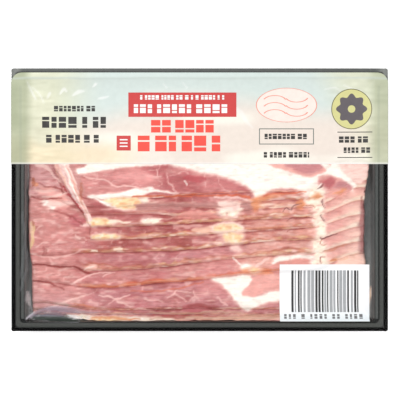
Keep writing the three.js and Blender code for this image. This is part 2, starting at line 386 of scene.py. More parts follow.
# Materials
class Shader:
    """A material under construction: its nodes and the links between them."""

    def __init__(self, name):
        self.material = bpy.data.materials.new(name)
        self.material.use_nodes = True
        self.tree = self.material.node_tree
        self.tree.nodes.clear()
        self.output = self.tree.nodes.new("ShaderNodeOutputMaterial")

    def node(self, kind, **settings):
        """A node with its settings, and its sockets' values or links by their names."""
        made = self.tree.nodes.new(kind)
        for name, value in settings.items():
            if name.startswith("in_"):
                self.feed(made.inputs[name[3:].replace("_", " ")], value)
            else:
                setattr(made, name, value)
        return made

    def feed(self, socket, value):
        if isinstance(value, bpy.types.NodeSocket):
            self.tree.links.new(value, socket)
        else:
            socket.default_value = value

    def paint(self):
        return self.node("ShaderNodeAttribute", attribute_name="Paint")

    def grain(self, size, detail=2.0, stretch=(1, 1, 1)):
        """Noise with lumps of about that size in millimetres."""
        places = self.node("ShaderNodeTexCoord").outputs["Object"]
        mapping = self.node("ShaderNodeMapping", in_Vector=places, in_Scale=stretch)
        pattern = self.node("ShaderNodeTexNoise", in_Vector=mapping.outputs["Vector"])
        pattern.inputs["Scale"].default_value = 1 / (size * MM)
        pattern.inputs["Detail"].default_value = detail
        return pattern.outputs["Fac"]

    def scaled(self, value, low, high):
        """A 0 to 1 value taken to another range."""
        ranged = self.node("ShaderNodeMapRange", in_Value=value)
        ranged.inputs["From Min"].default_value = 0.25
        ranged.inputs["From Max"].default_value = 0.75
        ranged.inputs["To Min"].default_value = low
        ranged.inputs["To Max"].default_value = high
        return ranged.outputs["Result"]

    def blend(self, share, colour, other, how="MIX"):
        """One colour blended with another by a share."""
        mixed = self.node("ShaderNodeMix", data_type="RGBA", blend_type=how)
        self.feed(mixed.inputs["Factor"], share)
        self.feed(mixed.inputs[6], colour)
        self.feed(mixed.inputs[7], other)
        return mixed.outputs[2]

    def times(self, value, other):
        product = self.node("ShaderNodeMath", operation="MULTIPLY")
        self.feed(product.inputs[0], value)
        self.feed(product.inputs[1], other)
        return product.outputs["Value"]

    def toned(self, tone):
        """The piece's own paint, made lighter and darker by a tone near 1."""
        return self.blend(1.0, self.paint().outputs["Color"], tone, "MULTIPLY")

    def mixed(self, share, first, second):
        """One surface mixed with another by a share."""
        made = self.node("ShaderNodeMixShader")
        for socket, value in zip(made.inputs, (share, first, second)):
            self.feed(socket, value)
        return made.outputs["Shader"]

    def bump(self, height, strength, distance):
        """A small relief, its depth in millimetres."""
        made = self.node("ShaderNodeBump", in_Height=height)
        made.inputs["Strength"].default_value = strength
        made.inputs["Distance"].default_value = distance * MM
        return made.outputs["Normal"]

    def plain(self, colour, roughness, normal, specular=0.5):
        """The finished material of an opaque surface."""
        made = self.node("ShaderNodeBsdfPrincipled", in_Base_Color=colour, in_Roughness=roughness)
        self.feed(made.inputs["Normal"], normal)
        made.inputs["Specular IOR Level"].default_value = specular
        return self.surface(made.outputs["BSDF"])

    def surface(self, shader):
        self.tree.links.new(shader, self.output.inputs["Surface"])
        return self.material


def meat_material():
    """Painted meat with fine fibres along the rasher and a moist, even gloss."""
    shader = Shader("moist_meat")
    fibres = shader.scaled(shader.grain(1.1, 3, (0.25, 1, 1)), 0.9, 1.1)
    grains = shader.scaled(shader.grain(0.5, 2), 0.95, 1.06)
    colour = shader.toned(shader.times(fibres, grains))
    roughness = shader.scaled(shader.grain(2.5), 0.38, 0.55)
    return shader.plain(colour, roughness, shader.bump(fibres, 0.5, 0.12), 0.35)


def film_material():
    """Clear film: what lies under it shows, but for its gloss, its cloudy folds and the light and shade
    painted on it.
    """
    shader = Shader("clear_lid_film")
    creases = shader.bump(shader.grain(5, 3, (1, 0.5, 1)), 0.5, 0.25)
    clear = shader.node("ShaderNodeBsdfTransparent", in_Color=(1, 1, 1, 1))
    gloss = shader.node("ShaderNodeBsdfGlossy", in_Color=(1, 1, 1, 1), in_Normal=creases)
    shader.feed(gloss.inputs["Roughness"], shader.scaled(shader.grain(6), 0.08, 0.2))
    fresnel = shader.node("ShaderNodeFresnel", in_Normal=creases, in_IOR=1.25)
    softened = shader.times(fresnel.outputs["Fac"], 0.6)
    sheet = shader.mixed(softened, clear.outputs["BSDF"], gloss.outputs["BSDF"])
    paint = shader.paint()
    folds_and_painted_light = shader.node("ShaderNodeBsdfDiffuse", in_Color=paint.outputs["Color"])
    return shader.surface(shader.mixed(paint.outputs["Alpha"], sheet, folds_and_painted_light.outputs["BSDF"]))


def print_material(name, roughness=0.4, mottle=0.04):
    """Ink on film: painted colour, faintly uneven, over the film's soft creases."""
    shader = Shader(name)
    uneven = shader.scaled(shader.grain(3.5, 4), 1 - mottle, 1 + mottle / 2)
    creases = shader.grain(9, 3, (1, 1.6, 1))
    return shader.plain(shader.toned(uneven), roughness, shader.bump(creases, 0.4, 0.15))


def tray_material(name, specular):
    """Black formed plastic, faintly mottled, with a soft gloss."""
    shader = Shader(name)
    mottle = shader.scaled(shader.grain(2, 4), 0.86, 1.12)
    roughness = shader.scaled(shader.grain(4), 0.3, 0.45)
    return shader.plain(shader.toned(mottle), roughness, shader.bump(mottle, 0.3, 0.06), specular)


# The tray: loops lofted from its underside out to the flange's edge and back in to the floor.
# Each is an inset from the ends and from the sides, a height, a corner radius and a colour.
# The greys are painted reflection on the black plastic, lightest on the pan's floor.
# The groove and the mouth are painted shade; the turned-down outer edge is the plastic's black with
# painted shade.
EDGE_BLACK = (2, 2, 2)
LAND_GREY = (74, 76, 73)
GROOVE_GREY = (44, 45, 44)
RIM_BLACK = (18, 20, 19)
LEDGE_GREY = (82, 85, 83)
WALL_GREY = (112, 114, 113)
PAN_GREY = (150, 152, 151)
UNDER_GREY = (42, 43, 44)
TRAY_LOOPS = [
    (10.2, 7.3, 0, 4, UNDER_GREY),
    (9.2, 6.2, 1.1, 4, UNDER_GREY),
    (7.5, 5.2, 10.2, 3, UNDER_GREY),
    (7, 4.8, 10.6, 3, UNDER_GREY),
    (0.3, 0.3, 10.9, 1.4, EDGE_BLACK),
    (0, 0, 11, 1.4, EDGE_BLACK),
    (0, 0, 11.5, 1.4, EDGE_BLACK),
    (0.15, 0.15, 11.85, 1.4, EDGE_BLACK),
    (0.5, 0.5, 12, 1.4, EDGE_BLACK),
    (1.7, 1.7, 12, 1.6, EDGE_BLACK),
    (2.2, 1.9, 12, 1.6, EDGE_BLACK),
    (2.5, 2.2, 11.65, 1.7, EDGE_BLACK),
    (2.9, 2.6, 11.6, 1.8, GROOVE_GREY),
    (3.3, 3, 11.85, 1.9, LAND_GREY),
    (3.7, 3.7, 12, 2, LAND_GREY),
    (4.9, 4.9, 12, 2.5, LAND_GREY),
    (5.3, 5.2, 11.85, 2.6, LAND_GREY),
    (5.6, 5.4, 11.35, 3, RIM_BLACK),
    (6, 5.6, 11.25, 3, RIM_BLACK),
    (6.5, 5.75, 11.2, 3, LEDGE_GREY),
    (7.7, 5.9, 11.2, 3, LEDGE_GREY),
    (8.2, 6, 11.1, 3, GROOVE_GREY),
    (8.6, 6.2, 9.5, 3, WALL_GREY),
    (9.3, 6.6, 5, 3.6, WALL_GREY),
    (10, 7, 1.3, 4, PAN_GREY),
    (10.6, 7.4, 0.8, 4, PAN_GREY),
    (14, 11, 0.8, 4, PAN_GREY),
]
TRAY_POINTS_A_SIDE = 480
CORNER_POINTS = 10
CRIMP_PITCH = 1.7
CRIMP_DEPTH = 0.22
CRIMP_SINK = 0.2
CRIMP_HIGHLIGHT_GREY = (66, 67, 66)
# The crimped edge: how far in it reaches, and the height from which a loop belongs to it
CRIMPED_REACH = 2.7
CRIMPED_FROM = 10.8
MATT_WIDTH = 2.6
# Painted reflection on the outer edge: greyer at the back, lighter at the back corners
BACK_GREY = (92, 94, 92)
CORNER_GREY = (132, 134, 131)


def rounded_loop(ends, sides, radius):
    """A rounded rectangle's points, anticlockwise from its right end, spaced alike in all loops."""
    turn = np.linspace(0, np.pi / 2, CORNER_POINTS)
    along = np.linspace(0, 1, TRAY_POINTS_A_SIDE, endpoint=False)[1:]
    loop = []
    signs = [(1, 1), (-1, 1), (-1, -1), (1, -1)]
    for quarter, (side_x, side_y) in enumerate(signs):
        centre = [side_x * (HALF_LENGTH - ends - radius), side_y * (HALF_WIDTH - sides - radius)]
        angle = turn + quarter * np.pi / 2
        loop.append(np.stack([np.cos(angle), np.sin(angle)], axis=1) * radius + centre)
    joined = []
    for quarter in range(4):
        start, end = loop[quarter][-1], loop[(quarter + 1) % 4][0]
        joined += [loop[quarter], start + (end - start) * along[:, None]]
    return np.concatenate(joined)


def crimped(points, height, inset):
    """The toothed outermost edge at the pack's left end and front."""
    x, y = points[:, 0], points[:, 1]
    at_left = smooth(-HALF_LENGTH + 3, -HALF_LENGTH + 2, x) * (np.abs(y) < HALF_WIDTH - 2)
    at_front = smooth(-HALF_WIDTH + 3, -HALF_WIDTH + 2, y) * (np.abs(x) < HALF_LENGTH - 2)
    outer = float(inset < CRIMPED_REACH)
    tooth_y = 0.5 - 0.5 * np.cos(2 * np.pi * y / CRIMP_PITCH)
    tooth_x = 0.5 - 0.5 * np.cos(2 * np.pi * x / CRIMP_PITCH)
    moved = points.copy()
    moved[:, 0] += CRIMP_DEPTH * at_left * tooth_y * outer
    moved[:, 1] += CRIMP_DEPTH * at_front * tooth_x * outer
    sunk = CRIMP_SINK * outer * (at_left * tooth_y + at_front * tooth_x) * float(0.4 < inset < 2)
    return np.column_stack([moved, height - sunk])


def make_tray():
    loops, paint = [], []
    for ends, sides, height, radius, colour in TRAY_LOOPS:
        loop = rounded_loop(ends, sides, radius)
        loops.append(crimped(loop, height, ends if height > CRIMPED_FROM else np.inf))
        tone = flat_paint(colour, len(loop))
        # At the front the ledge and the wall are painted black, as painted shadow.
        if colour in (LEDGE_GREY, WALL_GREY):
            tone[loop[:, 1] < 8 - HALF_WIDTH] = RIM_BLACK
        if colour == EDGE_BLACK:
            # Painted reflection toward the back and at the back corners
            tone = covered(tone, BACK_GREY, smooth(HALF_WIDTH - 10, HALF_WIDTH - 7, loop[:, 1]))
            at_corner = smooth(HALF_LENGTH - 8, HALF_LENGTH - 3, np.abs(loop[:, 0]))
            tone = covered(tone, CORNER_GREY, at_corner * (loop[:, 1] > HALF_WIDTH - 5))
            if ends < 1:
                # Painted highlights on the crimp's teeth
                teeth = smooth(0.1, 0.8, np.sin(2 * np.pi * (loop[:, 0] + loop[:, 1]) / CRIMP_PITCH))
                toothed = (loop[:, 0] < 3 - HALF_LENGTH) | (loop[:, 1] < 3 - HALF_WIDTH)
                tone = covered(tone, CRIMP_HIGHLIGHT_GREY, 0.4 * teeth * toothed)
        paint.append(tone)
    count = len(loops[0])
    points = np.concatenate([*loops, [[0, 0, 0], [0, 0, FLOOR_TOP]]])
    paint = np.concatenate([*paint, [UNDER_GREY, PAN_GREY]])
    ring = np.arange(count)
    following = np.roll(ring, -1)
    faces = []
    for loop in range(len(loops) - 1):
        low, high = loop * count, (loop + 1) * count
        faces += np.stack([ring + low, following + low, following + high, ring + high], 1).tolist()
    underside, floor = len(points) - 2, len(points) - 1
    last = (len(loops) - 1) * count
    faces += [[underside, b, a] for a, b in zip(ring.tolist(), following.tolist())]
    faces += [[floor, last + a, last + b] for a, b in zip(ring.tolist(), following.tolist())]
    plastic = tray_material("black_tray_plastic", 0.2)
    tray = piece("tray_shell", points, faces, plastic, ["tray"], paint)
    tray.data.materials.append(tray_material("matt_black_edge", 0.02))
    at_ends = np.abs(points[:, 0]) > HALF_LENGTH - MATT_WIDTH
    at_front = points[:, 1] < MATT_WIDTH - HALF_WIDTH
    matt = (at_ends | at_front) & (points[:, 2] > CRIMPED_FROM)
    edge_faces = [int(all(matt[corner] for corner in face)) for face in faces]
    tray.data.polygons.foreach_set("material_index", edge_faces)


# What is seen on the rashers from above. An area is a colour, the width of its soft edge, how
# tattered that edge is along the rashers, and its outline. A streak is a colour, a strength and
# its line, with a width at each point.
AREAS = [
    # The wide fat of the highest rasher, with the lean that it surrounds
    (FAT, 2, 0.5, [(-14, 24), (-4, 19), (10, 16), (23, 12.2), (32, 7), (36, 0.5), (40, 3.5), (48.5, 7.5),
        (59, 7), (65, 5), (69, -1), (72, 0.5), (75, 7), (74, 12.5), (78, 16), (83, 15.5), (90, 11),
        (97, 6), (92, 14), (84, 25)]),
    (SALMON, 1.4, 0.6, [(42, 25), (80, 25), (81, 20), (77.5, 17), (69, 14.5), (60, 17), (49, 20.5)]),
    (LEAN, 3, 1, [(54, 23), (78, 23.5), (77, 18.5), (68, 16.5), (60, 19)]),
    (SALMON, 1.5, 0.6, [(75.5, 7), (78, 11), (82, 14.5), (88, 14), (96, 9), (93, 4), (84, 1), (78, 2)]),
    (DEEP_LEAN, 4, 1.5, [(76, 7), (78, 12), (81.5, 15), (85, 14), (86, 9), (82, 7)]),
    (LEAN, 3, 2, [(86, 8), (90, 12), (97, 8.5), (91, 6.5)]),
    (PINK_FAT, 1.5, 0.6, [(87, 26), (106, 26), (105.5, 15), (101, 10.5), (95, 12.5)]),
    # Fat along the print, and the wedge at the front of the same rasher
    (FAT, 1, 0.6, [(-77.5, 16.5), (-70, 16.8), (-60, 18.7), (-48, 20.5), (-36, 21.3), (-22, 22.6),
        (-20, 26), (-66, 26), (-73, 21), (-77, 19.5)]),
    (CREAM, 1.8, 1, [(-61, 1.8), (-48, 3.8), (-38, 3.5), (-33, 0), (-36, -4), (-47, -6), (-55, -5),
        (-58, -2)]),
    (YELLOW_FAT, 1.6, 1.6, [(-61, 0), (-50, 1.8), (-41, 1.6), (-36.5, -1.5), (-40, -5), (-48, -5.6),
        (-56, -3.6)]),
    (FAT, 0.8, 0.6, [(-71, 2), (-63, 3.3), (-49, 4.3), (-43.5, 6.2), (-32, 8), (-27, 6.3), (-14, 3.9),
        (-24, 4.9), (-30, 4.8), (-34, 3.6), (-41, 2.2), (-51, 2), (-63, 0.6)]),
    (BLUSH, 5, 2, [(-54, 15), (-46, 18), (-34, 18.5), (-28, 15), (-30, 10.5), (-38, 10), (-47, 11.5)]),
    (ROSE, 2, 1.5, [(-70, -2), (-66, -0.5), (-58, -3.6), (-64, -5)]),
    (FAT, 0.8, 0.6, [(-67, 1), (-61, -1.2), (-56, -3.4), (-57, -4.2), (-62, -2)]),
    # The lowest rashers' fat round a lean middle
    (FAT, 1.6, 0.4, [(8, -50.5), (17, -49.5), (31, -48), (33, -52), (29, -57), (28, -61), (37, -61.5),
        (45, -58.5), (54, -57), (54, -62.5), (44, -65), (36.5, -67.5), (30.5, -71), (27, -68),
        (23, -64.5), (19, -59), (14, -54)]),
    (SALMON, 2, 0.4, [(33, -51), (37, -48.5), (54, -48), (54, -57), (44, -58), (35, -61.5), (29, -61),
        (27.5, -58), (31, -55)]),
    (DEEP_LEAN, 2.4, 1, [(-11, -69), (-6, -66.5), (1, -66.5), (8, -69.5), (0, -71.5), (-8, -71.5)]),
    # Fat where the middle strips step over one another
    (CREAM, 3, 0.7, [(12.5, -2), (20, -1.5), (26, -3.5), (25.5, -8), (20, -10.5), (13.5, -9)]),
    (PINK_FAT, 3, 1, [(12, -2), (20, -1.5), (26, -3.5), (24, -6), (13, -6)]),
    (PALE_TAN, 1.6, 2, [(-6, -20), (4, -17), (14, -15), (24, -14.5), (28, -17.5), (25, -21),
        (12, -21.5)]),
    (CREAM, 2, 1, [(8, -18.5), (14, -15.5), (24, -14.8), (27, -17.5), (24, -20.5), (14, -20.5)]),
    (YELLOW_FAT, 2, 1.4, [(8, -18), (14, -15.5), (23, -15.5), (26, -18), (22, -20), (12, -20)]),
    (YELLOW_FAT, 2.8, 0.8, [(15, -22), (20.5, -21), (26.5, -22.5), (26, -26.5), (21, -27.5),
        (16, -25.5)]),
    (PINK_FAT, 2.8, 0.8, [(19.5, -29.5), (24.5, -29), (27, -31.5), (25, -33), (20, -32)]),
    (FAT, 1.6, 0.8, [(25.5, -41.5), (30, -40.5), (33, -43.5), (28, -45)]),
    (PALE_ORANGE, 3, 1, [(26, -44.6), (33, -43), (42, -44), (46, -46.6), (34, -47.6)]),
    (YELLOW_FAT, 2.4, 0.6, [(32, -43.8), (36, -43.2), (37.5, -45.4), (33.5, -46)]),
    (WARM_PINK, 1.6, 1.5, [(-15, -10.5), (-9, -8), (-2.5, -6.5), (6, -8), (12, -10.5), (3, -12),
        (-8, -12)]),
    (DUSK, 2, 2, [(-36, -2), (0, -1.5), (11, -2), (11, -5), (-6, -4.5), (-22, -6), (-39, -6.5)]),
    (DUSK, 2, 1.4, [(26, -1.5), (33, -2), (34, -7), (29, -8)]),
    # The left block
    (FAT, 2.4, 1.5, [(-99, -0.5), (-95, 0), (-92, -4), (-93.5, -6.5), (-97, -4)]),
    (SALMON, 3, 2, [(-95, 3), (-88, 5), (-84, 1), (-83, -4), (-90, -5), (-95, -2)]),
    (SALMON, 3, 2, [(-103, 8), (-96, 8.5), (-92, 6), (-95, 3.5), (-102, 4)]),
    (PINK_FAT, 2.4, 2.5, [(-97, 0), (-88, -1), (-80, -1.5), (-80, -3), (-92, -4)]),
    (YELLOW_FAT, 1.4, 1.5, [(-71, -12), (-57.5, -12), (-56, -15.5), (-69, -16.2)]),
    (YELLOW_FAT, 1.6, 2, [(-68, -22.6), (-59, -21.6), (-50, -22.8), (-50, -24.3), (-60, -25),
        (-68, -24.6)]),
    (CREAM, 1.4, 1, [(-36, -12.6), (-31, -11.3), (-25.5, -12.2), (-25.5, -14), (-31, -15), (-36, -14.2)]),
    (DEEP_LEAN, 3, 2.4, [(-84, -10), (-78, -9), (-72.5, -13), (-74, -17.5), (-81, -15)]),
    (PINK_FAT, 1.2, 0.8, [(-75.5, -16.6), (-72, -14.6), (-69, -15), (-71, -17.2)]),
    (PALE_STRIP, 1, 0.6, [(-74, -45), (-71, -42), (-66, -41), (-65, -43), (-70, -45.6)]),
    (CREAM, 1, 1.5, [(-84, -73.6), (-60, -74), (-40, -74.6), (-20, -75.4), (-20, -78), (-84, -78)]),
    (YELLOW_FAT, 1, 1.5, [(-66, -74.4), (-52, -74.4), (-46, -75.6), (-52, -78), (-70, -78)]),
    # The lens of lean above the barcode
    (FAT, 1.4, 0.8, [(49, -36.5), (58, -35.5), (66, -35), (73, -36.5), (78, -42), (48, -43)]),
    (WARM_PINK, 1.4, 0.6, [(47, -40.5), (57.5, -37.8), (64, -37.2), (69.5, -38), (72.5, -41), (70, -44),
        (46, -44)]),
    (PALE_SALMON, 1.8, 1, [(88, -37.5), (95.5, -36), (103, -34), (108, -39.5), (108, -44), (88, -44)]),
    # The column of fat at the right, and amber spots round it
    (CREAM, 2.6, 1.4, [(67, 0), (72, -6.5), (72.5, -14.4), (75, -19.2), (74, -22.4), (72, -26.2),
        (71.5, -30.3), (73.5, -35), (71, -42), (81, -42), (81, -34), (80.6, -30.3), (76.7, -26.2),
        (79, -22.4), (79.8, -19.2), (79, -14.4), (77.3, -6.5), (78, 0), (79, 6), (72, 8)]),
    (AMBER, 4, 1.5, [(32.5, -1.5), (36, 2), (45, 3.4), (52, 3.6), (44, 0.6), (39, -1.6), (37, -6),
        (34, -6.5)]),
    (AMBER, 3.4, 1.5, [(62, -2), (65, 0.5), (66.8, -2.5), (65, -6), (63, -5.5)]),
    (AMBER, 3.4, 1.5, [(69.5, 1.5), (73.5, 4.5), (77.5, 2.5), (73.5, 0.5)]),
    (AMBER, 3, 2, [(85, 4.5), (89, 7), (92.5, 6), (89, 4)]),
]
STREAKS = [
    # The strip of fat that slants down at the left, and what edges it
    (DUSK, 0.7, [(-83, 24, 5), (-80, 17.5, 5), (-77, 12, 4.5), (-74, 4, 3)]),
    (PALE_TAN, 0.9, [(-90.5, 24, 4), (-88.5, 18, 4), (-86, 12.5, 3), (-84, 8, 1.5)]),
    (PINK_FAT, 1, [(-86.5, 24, 6), (-84.4, 19, 6), (-82, 12.5, 5.5), (-79.6, 6.3, 5), (-76.3, 0, 4.6),
        (-72.8, -6.5, 4), (-70, -12.5, 3)]),
    # Painted shade on the strip's left flank
    (PALE_GREY_PINK, 0.7, [(-88.6, 24, 1.6), (-86.4, 18, 1.8), (-83.6, 11, 1.6), (-80.6, 4, 1.4),
        (-77, -2, 1)]),
    # A painted highlight along the strip's crown
    (FAT, 0.7, [(-85.6, 24, 1.6), (-82.4, 15, 1.4), (-79.8, 8, 1.2), (-76, 0.5, 1)]),
    (WARM_PINK, 0.6, [(-84.4, 22, 0.5), (-81, 13, 0.6), (-78.2, 7, 0.6), (-75, 1, 0.4)]),
    (WARM_PINK, 0.5, [(-87.8, 20, 0.4), (-84.6, 13.4, 0.5), (-81.8, 7, 0.4)]),
    # The dark red crinkled edge under the strip: partly its own red, partly painted contact shadow
    (BLOOD, 0.9, [(-88, 7, 0.4), (-86, 8.6, 1.2), (-84.4, 5.4, 0.8), (-83, 3, 1.2), (-80, -0.6, 0.8),
        (-77, -3.8, 1.3), (-74, -8, 1.2)]),
    (DARK_RED, 0.7, [(-85.6, 6.6, 0.5), (-82, 1.8, 0.7), (-78.6, -2.6, 0.6), (-75, -6.6, 0.7)]),
    (BROWN, 0.6, [(-75.5, 10, 1), (-75, 5, 1.8), (-74, 0, 1)]),
    (DARK_RED, 0.6, [(-104, 11, 0.5), (-97, 8.5, 0.9), (-91, 8, 0.8), (-86, 5, 0.6)]),
    (DARK_RED, 0.7, [(-106.5, 2.5, 0.6), (-103.5, 1, 0.9), (-99, 0.3, 0.9), (-94, 1, 0.8),
        (-87.5, 1, 0.5)]),
    (PINK_FAT, 0.8, [(-100, 1.8, 0.6), (-94, 2.3, 1.2), (-89, 3.2, 1.6), (-84, 4.4, 1)]),
    (PINK_FAT, 0.7, [(-104, 22, 2), (-97, 20.5, 2.4), (-93, 15, 1.6), (-90, 13, 0.8)]),
    (PINK_FAT, 0.6, [(-104, 6, 1.2), (-98, 5.5, 2), (-91, 6.5, 0.8)]),
    (PALE_TAN, 0.8, [(-107.5, -14, 1.5), (-106.5, -20.5, 2), (-106, -25.5, 2), (-107.5, -30.5, 1.5)]),
    (SAND, 0.8, [(-107, -14.5, 0.8), (-105.4, -17.5, 2.2), (-106.6, -22, 1.2), (-105.4, -26, 2.4),
        (-107, -31, 1)]),
    (BROWN, 0.6, [(-106.4, -13, 0.6), (-105, -14.6, 1.2), (-105.8, -16.6, 0.6)]),
    (PINK_FAT, 0.6, [(-103.4, -19, 0.5), (-101.6, -17, 0.8), (-99.6, -16.6, 0.4)]),
    (AMBER, 0.7, [(-106, 11, 1.5), (-104.5, 9.5, 2.5)]),
    (BROWN, 0.8, [(-106.5, 14, 1), (-106, 10.5, 1.8), (-106.3, 8.5, 1)]),
    (BROWN, 0.6, [(-106, -14, 1), (-105.5, -16, 1.5)]),
    (DARK_RED, 0.5, [(-95, -6.5, 0.8), (-88, -8, 1.2), (-82, -10.5, 1.4)]),
    (DARK_RED, 0.4, [(-99, -30, 1.5), (-97.5, -33, 2.5), (-99.5, -35, 1)]),
    (PINK_FAT, 0.6, [(-103, -30, 0.4), (-100, -27.4, 0.8), (-96, -27.2, 0.4)]),
    (PINK_FAT, 0.7, [(-78.4, -22.6, 0.8), (-76, -24.8, 1)]),
    (PINK_FAT, 0.6, [(-73.4, -24, 0.8), (-71.4, -25.4, 0.8)]),
    (BROWN, 0.5, [(-75, -33, 0.6), (-70, -33.6, 1), (-64, -33, 0.6)]),
    (DARK_RED, 0.8, [(-106, -41, 0.7), (-100.5, -41, 0.8), (-94, -42, 1), (-87.5, -42.5, 0.9),
        (-81, -42.3, 0.6)]),
    (DARK_RED, 0.9, [(-80, -42, 0.8), (-76, -44, 1.6), (-72.5, -46, 1.6), (-68, -47, 0.8)]),
    (DARK_RED, 0.7, [(-106, -51.5, 0.7), (-100.5, -52, 0.8), (-95, -53, 0.9), (-91, -55, 0.9),
        (-86.5, -57, 0.6)]),
    (VEIN, 0.7, [(-106, -34, 0.6), (-98.5, -36, 0.9), (-89, -36.5, 0.9), (-82.5, -35, 0.9),
        (-76, -32.5, 0.8)]),
    (VEIN, 0.9, [(-81, -53.5, 0.8), (-76, -50.5, 1.2), (-71, -48.5, 1), (-64.5, -46.5, 0.7),
        (-57, -46, 0.5)]),
    (VEIN, 0.7, [(-95, -68, 0.8), (-86, -65.5, 1.4), (-78, -62, 0.8), (-70, -60.5, 0.6)]),
    # Veins in the highest rasher
    (VEIN, 0.9, [(-73, 15, 0.5), (-68.5, 13.5, 0.7), (-59.5, 12.5, 0.7), (-56, 10, 0.8), (-52, 8.5, 1),
        (-48, 8.8, 1), (-43, 8.5, 1), (-38, 7.2, 1), (-32.5, 6.3, 1)]),
    (VEIN, 0.8, [(-27.2, 19, 0.8), (-26.8, 15, 0.6)]),
    (VEIN, 0.7, [(-29.5, 14.3, 0.5), (-24, 14.6, 0.5)]),
    (VEIN, 0.8, [(-21.5, 17.5, 0.4), (-19.5, 11, 0.6), (-17.5, 9, 0.7), (-16.5, 6.5, 0.8),
        (-13, 3.5, 0.7)]),
    (VEIN, 0.5, [(3, 17, 0.6), (3.2, 12.5, 0.6), (4, 8, 0.5)]),
    (VEIN, 0.6, [(11, 14.5, 0.5), (13.5, 9, 0.6), (16, 6.3, 0.7), (19.5, 5, 0.7)]),
    (BLOOD, 0.7, [(-10, 14, 2), (-5, 13.5, 4), (0.5, 13, 4), (3.5, 13.3, 2)]),
    # A painted glint beside the deep red spot
    (FAT, 0.8, [(-10, 12, 0.8), (-8, 9.5, 0.9)]),
    (ORANGE, 0.8, [(-43, 2, 0.6), (-38, 2.4, 1.4), (-32, 2.4, 1), (-22, 2.3, 0.8)]),
    (FAT, 0.9, [(-62, -0.8, 0.8), (-57.5, -3.5, 1.4)]),
    (ORANGE, 0.9, [(-22, 2.2, 0.7), (-8, 2.3, 0.9), (8, 2.6, 0.9), (20, 2.9, 0.9), (29, 2.2, 1.6),
        (32, 1.4, 0.8)]),
    (PINK_FAT, 0.8, [(10, 1.4, 1), (20, 1.5, 1.4), (29, 0.3, 1)]),
    # Veins in the lowest rashers
    (VEIN, 0.9, [(-63.5, -61, 0.6), (-57, -61.5, 1), (-53, -63, 1.1), (-47.5, -61.5, 0.8),
        (-45, -60.5, 0.6)]),
    (VEIN, 0.8, [(-53, -63, 0.8), (-52, -65, 0.8), (-48, -66, 0.8), (-43.5, -68, 0.6)]),
    (VEIN, 0.6, [(-53, -63, 0.7), (-57.5, -66, 0.5)]),
    (VEIN, 0.7, [(-35, -63, 0.6), (-31.5, -64, 0.7), (-26.5, -64, 0.7), (-23.5, -64.5, 0.5)]),
    (VEIN, 0.8, [(-20, -62, 0.5), (-16.5, -59.5, 0.8), (-14.5, -57.5, 0.8), (-6, -59, 0.5)]),
    (VEIN, 0.8, [(-16.5, -59.5, 0.7), (-11, -62.5, 0.8), (-8.5, -65, 0.5)]),
    (VEIN, 0.7, [(-4, -58, 0.5), (-3.2, -60.5, 0.7), (-0.5, -63.5, 0.5)]),
    (VEIN, 0.8, [(11, -62, 0.6), (12.5, -63, 0.7), (14.5, -65.5, 0.8), (18, -67, 0.5)]),
    (VEIN, 0.7, [(-61.5, -49, 0.5), (-58.5, -47, 0.7), (-54, -46, 0.4)]),
    (FAT, 0.9, [(21, -36.5, 0.4), (24, -39.5, 0.8), (27, -42.5, 1)]),
    (FAT, 0.6, [(-73, -44.6, 0.4), (-70, -43, 0.8), (-66.4, -41.8, 0.4)]),
    (PINK_FAT, 0.8, [(36, -42.5, 1.6), (40, -40, 1.8), (43.5, -36.5, 0.8)]),
    (ORANGE, 0.5, [(10, -48.4, 0.6), (22, -46.6, 0.9), (34, -45.6, 0.6), (44, -44.8, 0.7),
        (52, -44.6, 0.5)]),
    (AMBER, 0.8, [(-68, -74.8, 0.6), (-56, -75, 1.3), (-46, -75.8, 1), (-38, -75.9, 0.4)]),
    (CREAM, 0.8, [(-56, -13.6, 1.8), (-50, -14.2, 1.4), (-44, -14, 0.6)]),
    # Two small painted highlights
    (CREAM, 0.8, [(-68.5, -32, 1.2), (-65, -32, 1.2)]),
    (CREAM, 0.8, [(-54, -31.3, 1.2), (-49.5, -31, 1.2)]),
    (PALE_TAN, 0.7, [(-2, -76.2, 0.6), (14, -76.4, 0.9), (30, -76.2, 0.7), (44, -76.6, 0.5)]),
    (FAWN, 0.8, [(-31.6, -71.8, 0.7), (-6, -72.6, 0.9), (6.6, -71.2, 1.2), (25.7, -72, 0.9)]),
    (FAWN, 0.85, [(-32, -75.4, 0.8), (-4, -75, 1), (12, -75.2, 1.8), (26, -74.8, 2.2), (44, -74.4, 2.6),
        (52, -74, 2)]),
    (MAUVE, 0.7, [(-24, -74.6, 0.6), (-18, -74.8, 1.2), (-9, -74.9, 0.5)]),
    (MAUVE, 0.7, [(-8, -73.5, 0.6), (6, -73.8, 1), (20, -73.4, 0.5)]),
    (PINK_FAT, 0.6, [(6, -73.4, 0.4), (22, -73.6, 0.7), (40, -73, 0.5)]),
    (LILAC, 0.7, [(-91, 24, 1.5), (-88.6, 17, 1.5), (-85.6, 10, 1.2), (-83, 6, 0.8)]),
    (DULL_TAN, 0.5, [(-83.5, 20, 0.4), (-80.6, 13, 0.7), (-77.4, 6, 0.5)]),
    # The strip's dark red edge carried up, partly painted contact shadow
    (DARK_RED, 0.55, [(-90.4, 12, 0.4), (-88, 8.6, 0.9), (-86.6, 4, 0.5)]),
    (DUSK, 0.5, [(-86.4, 20, 0.3), (-84, 13.6, 0.7), (-81, 7.4, 0.5), (-78, 1.4, 0.8), (-74.6, -5, 0.5),
        (-71.6, -11, 0.4)]),
    (DULL_TAN, 0.55, [(-79.4, 9, 0.3), (-76.6, 3, 0.8), (-73.4, -3.4, 0.6), (-71, -8.6, 0.4)]),
    # Ticks and crinkles on the strip's dark red edge, partly painted contact shadow
    (BLOOD, 0.8, [(-83.6, 4.6, 0.3), (-82.2, 3.2, 0.9), (-80.8, 3.2, 0.3)]),
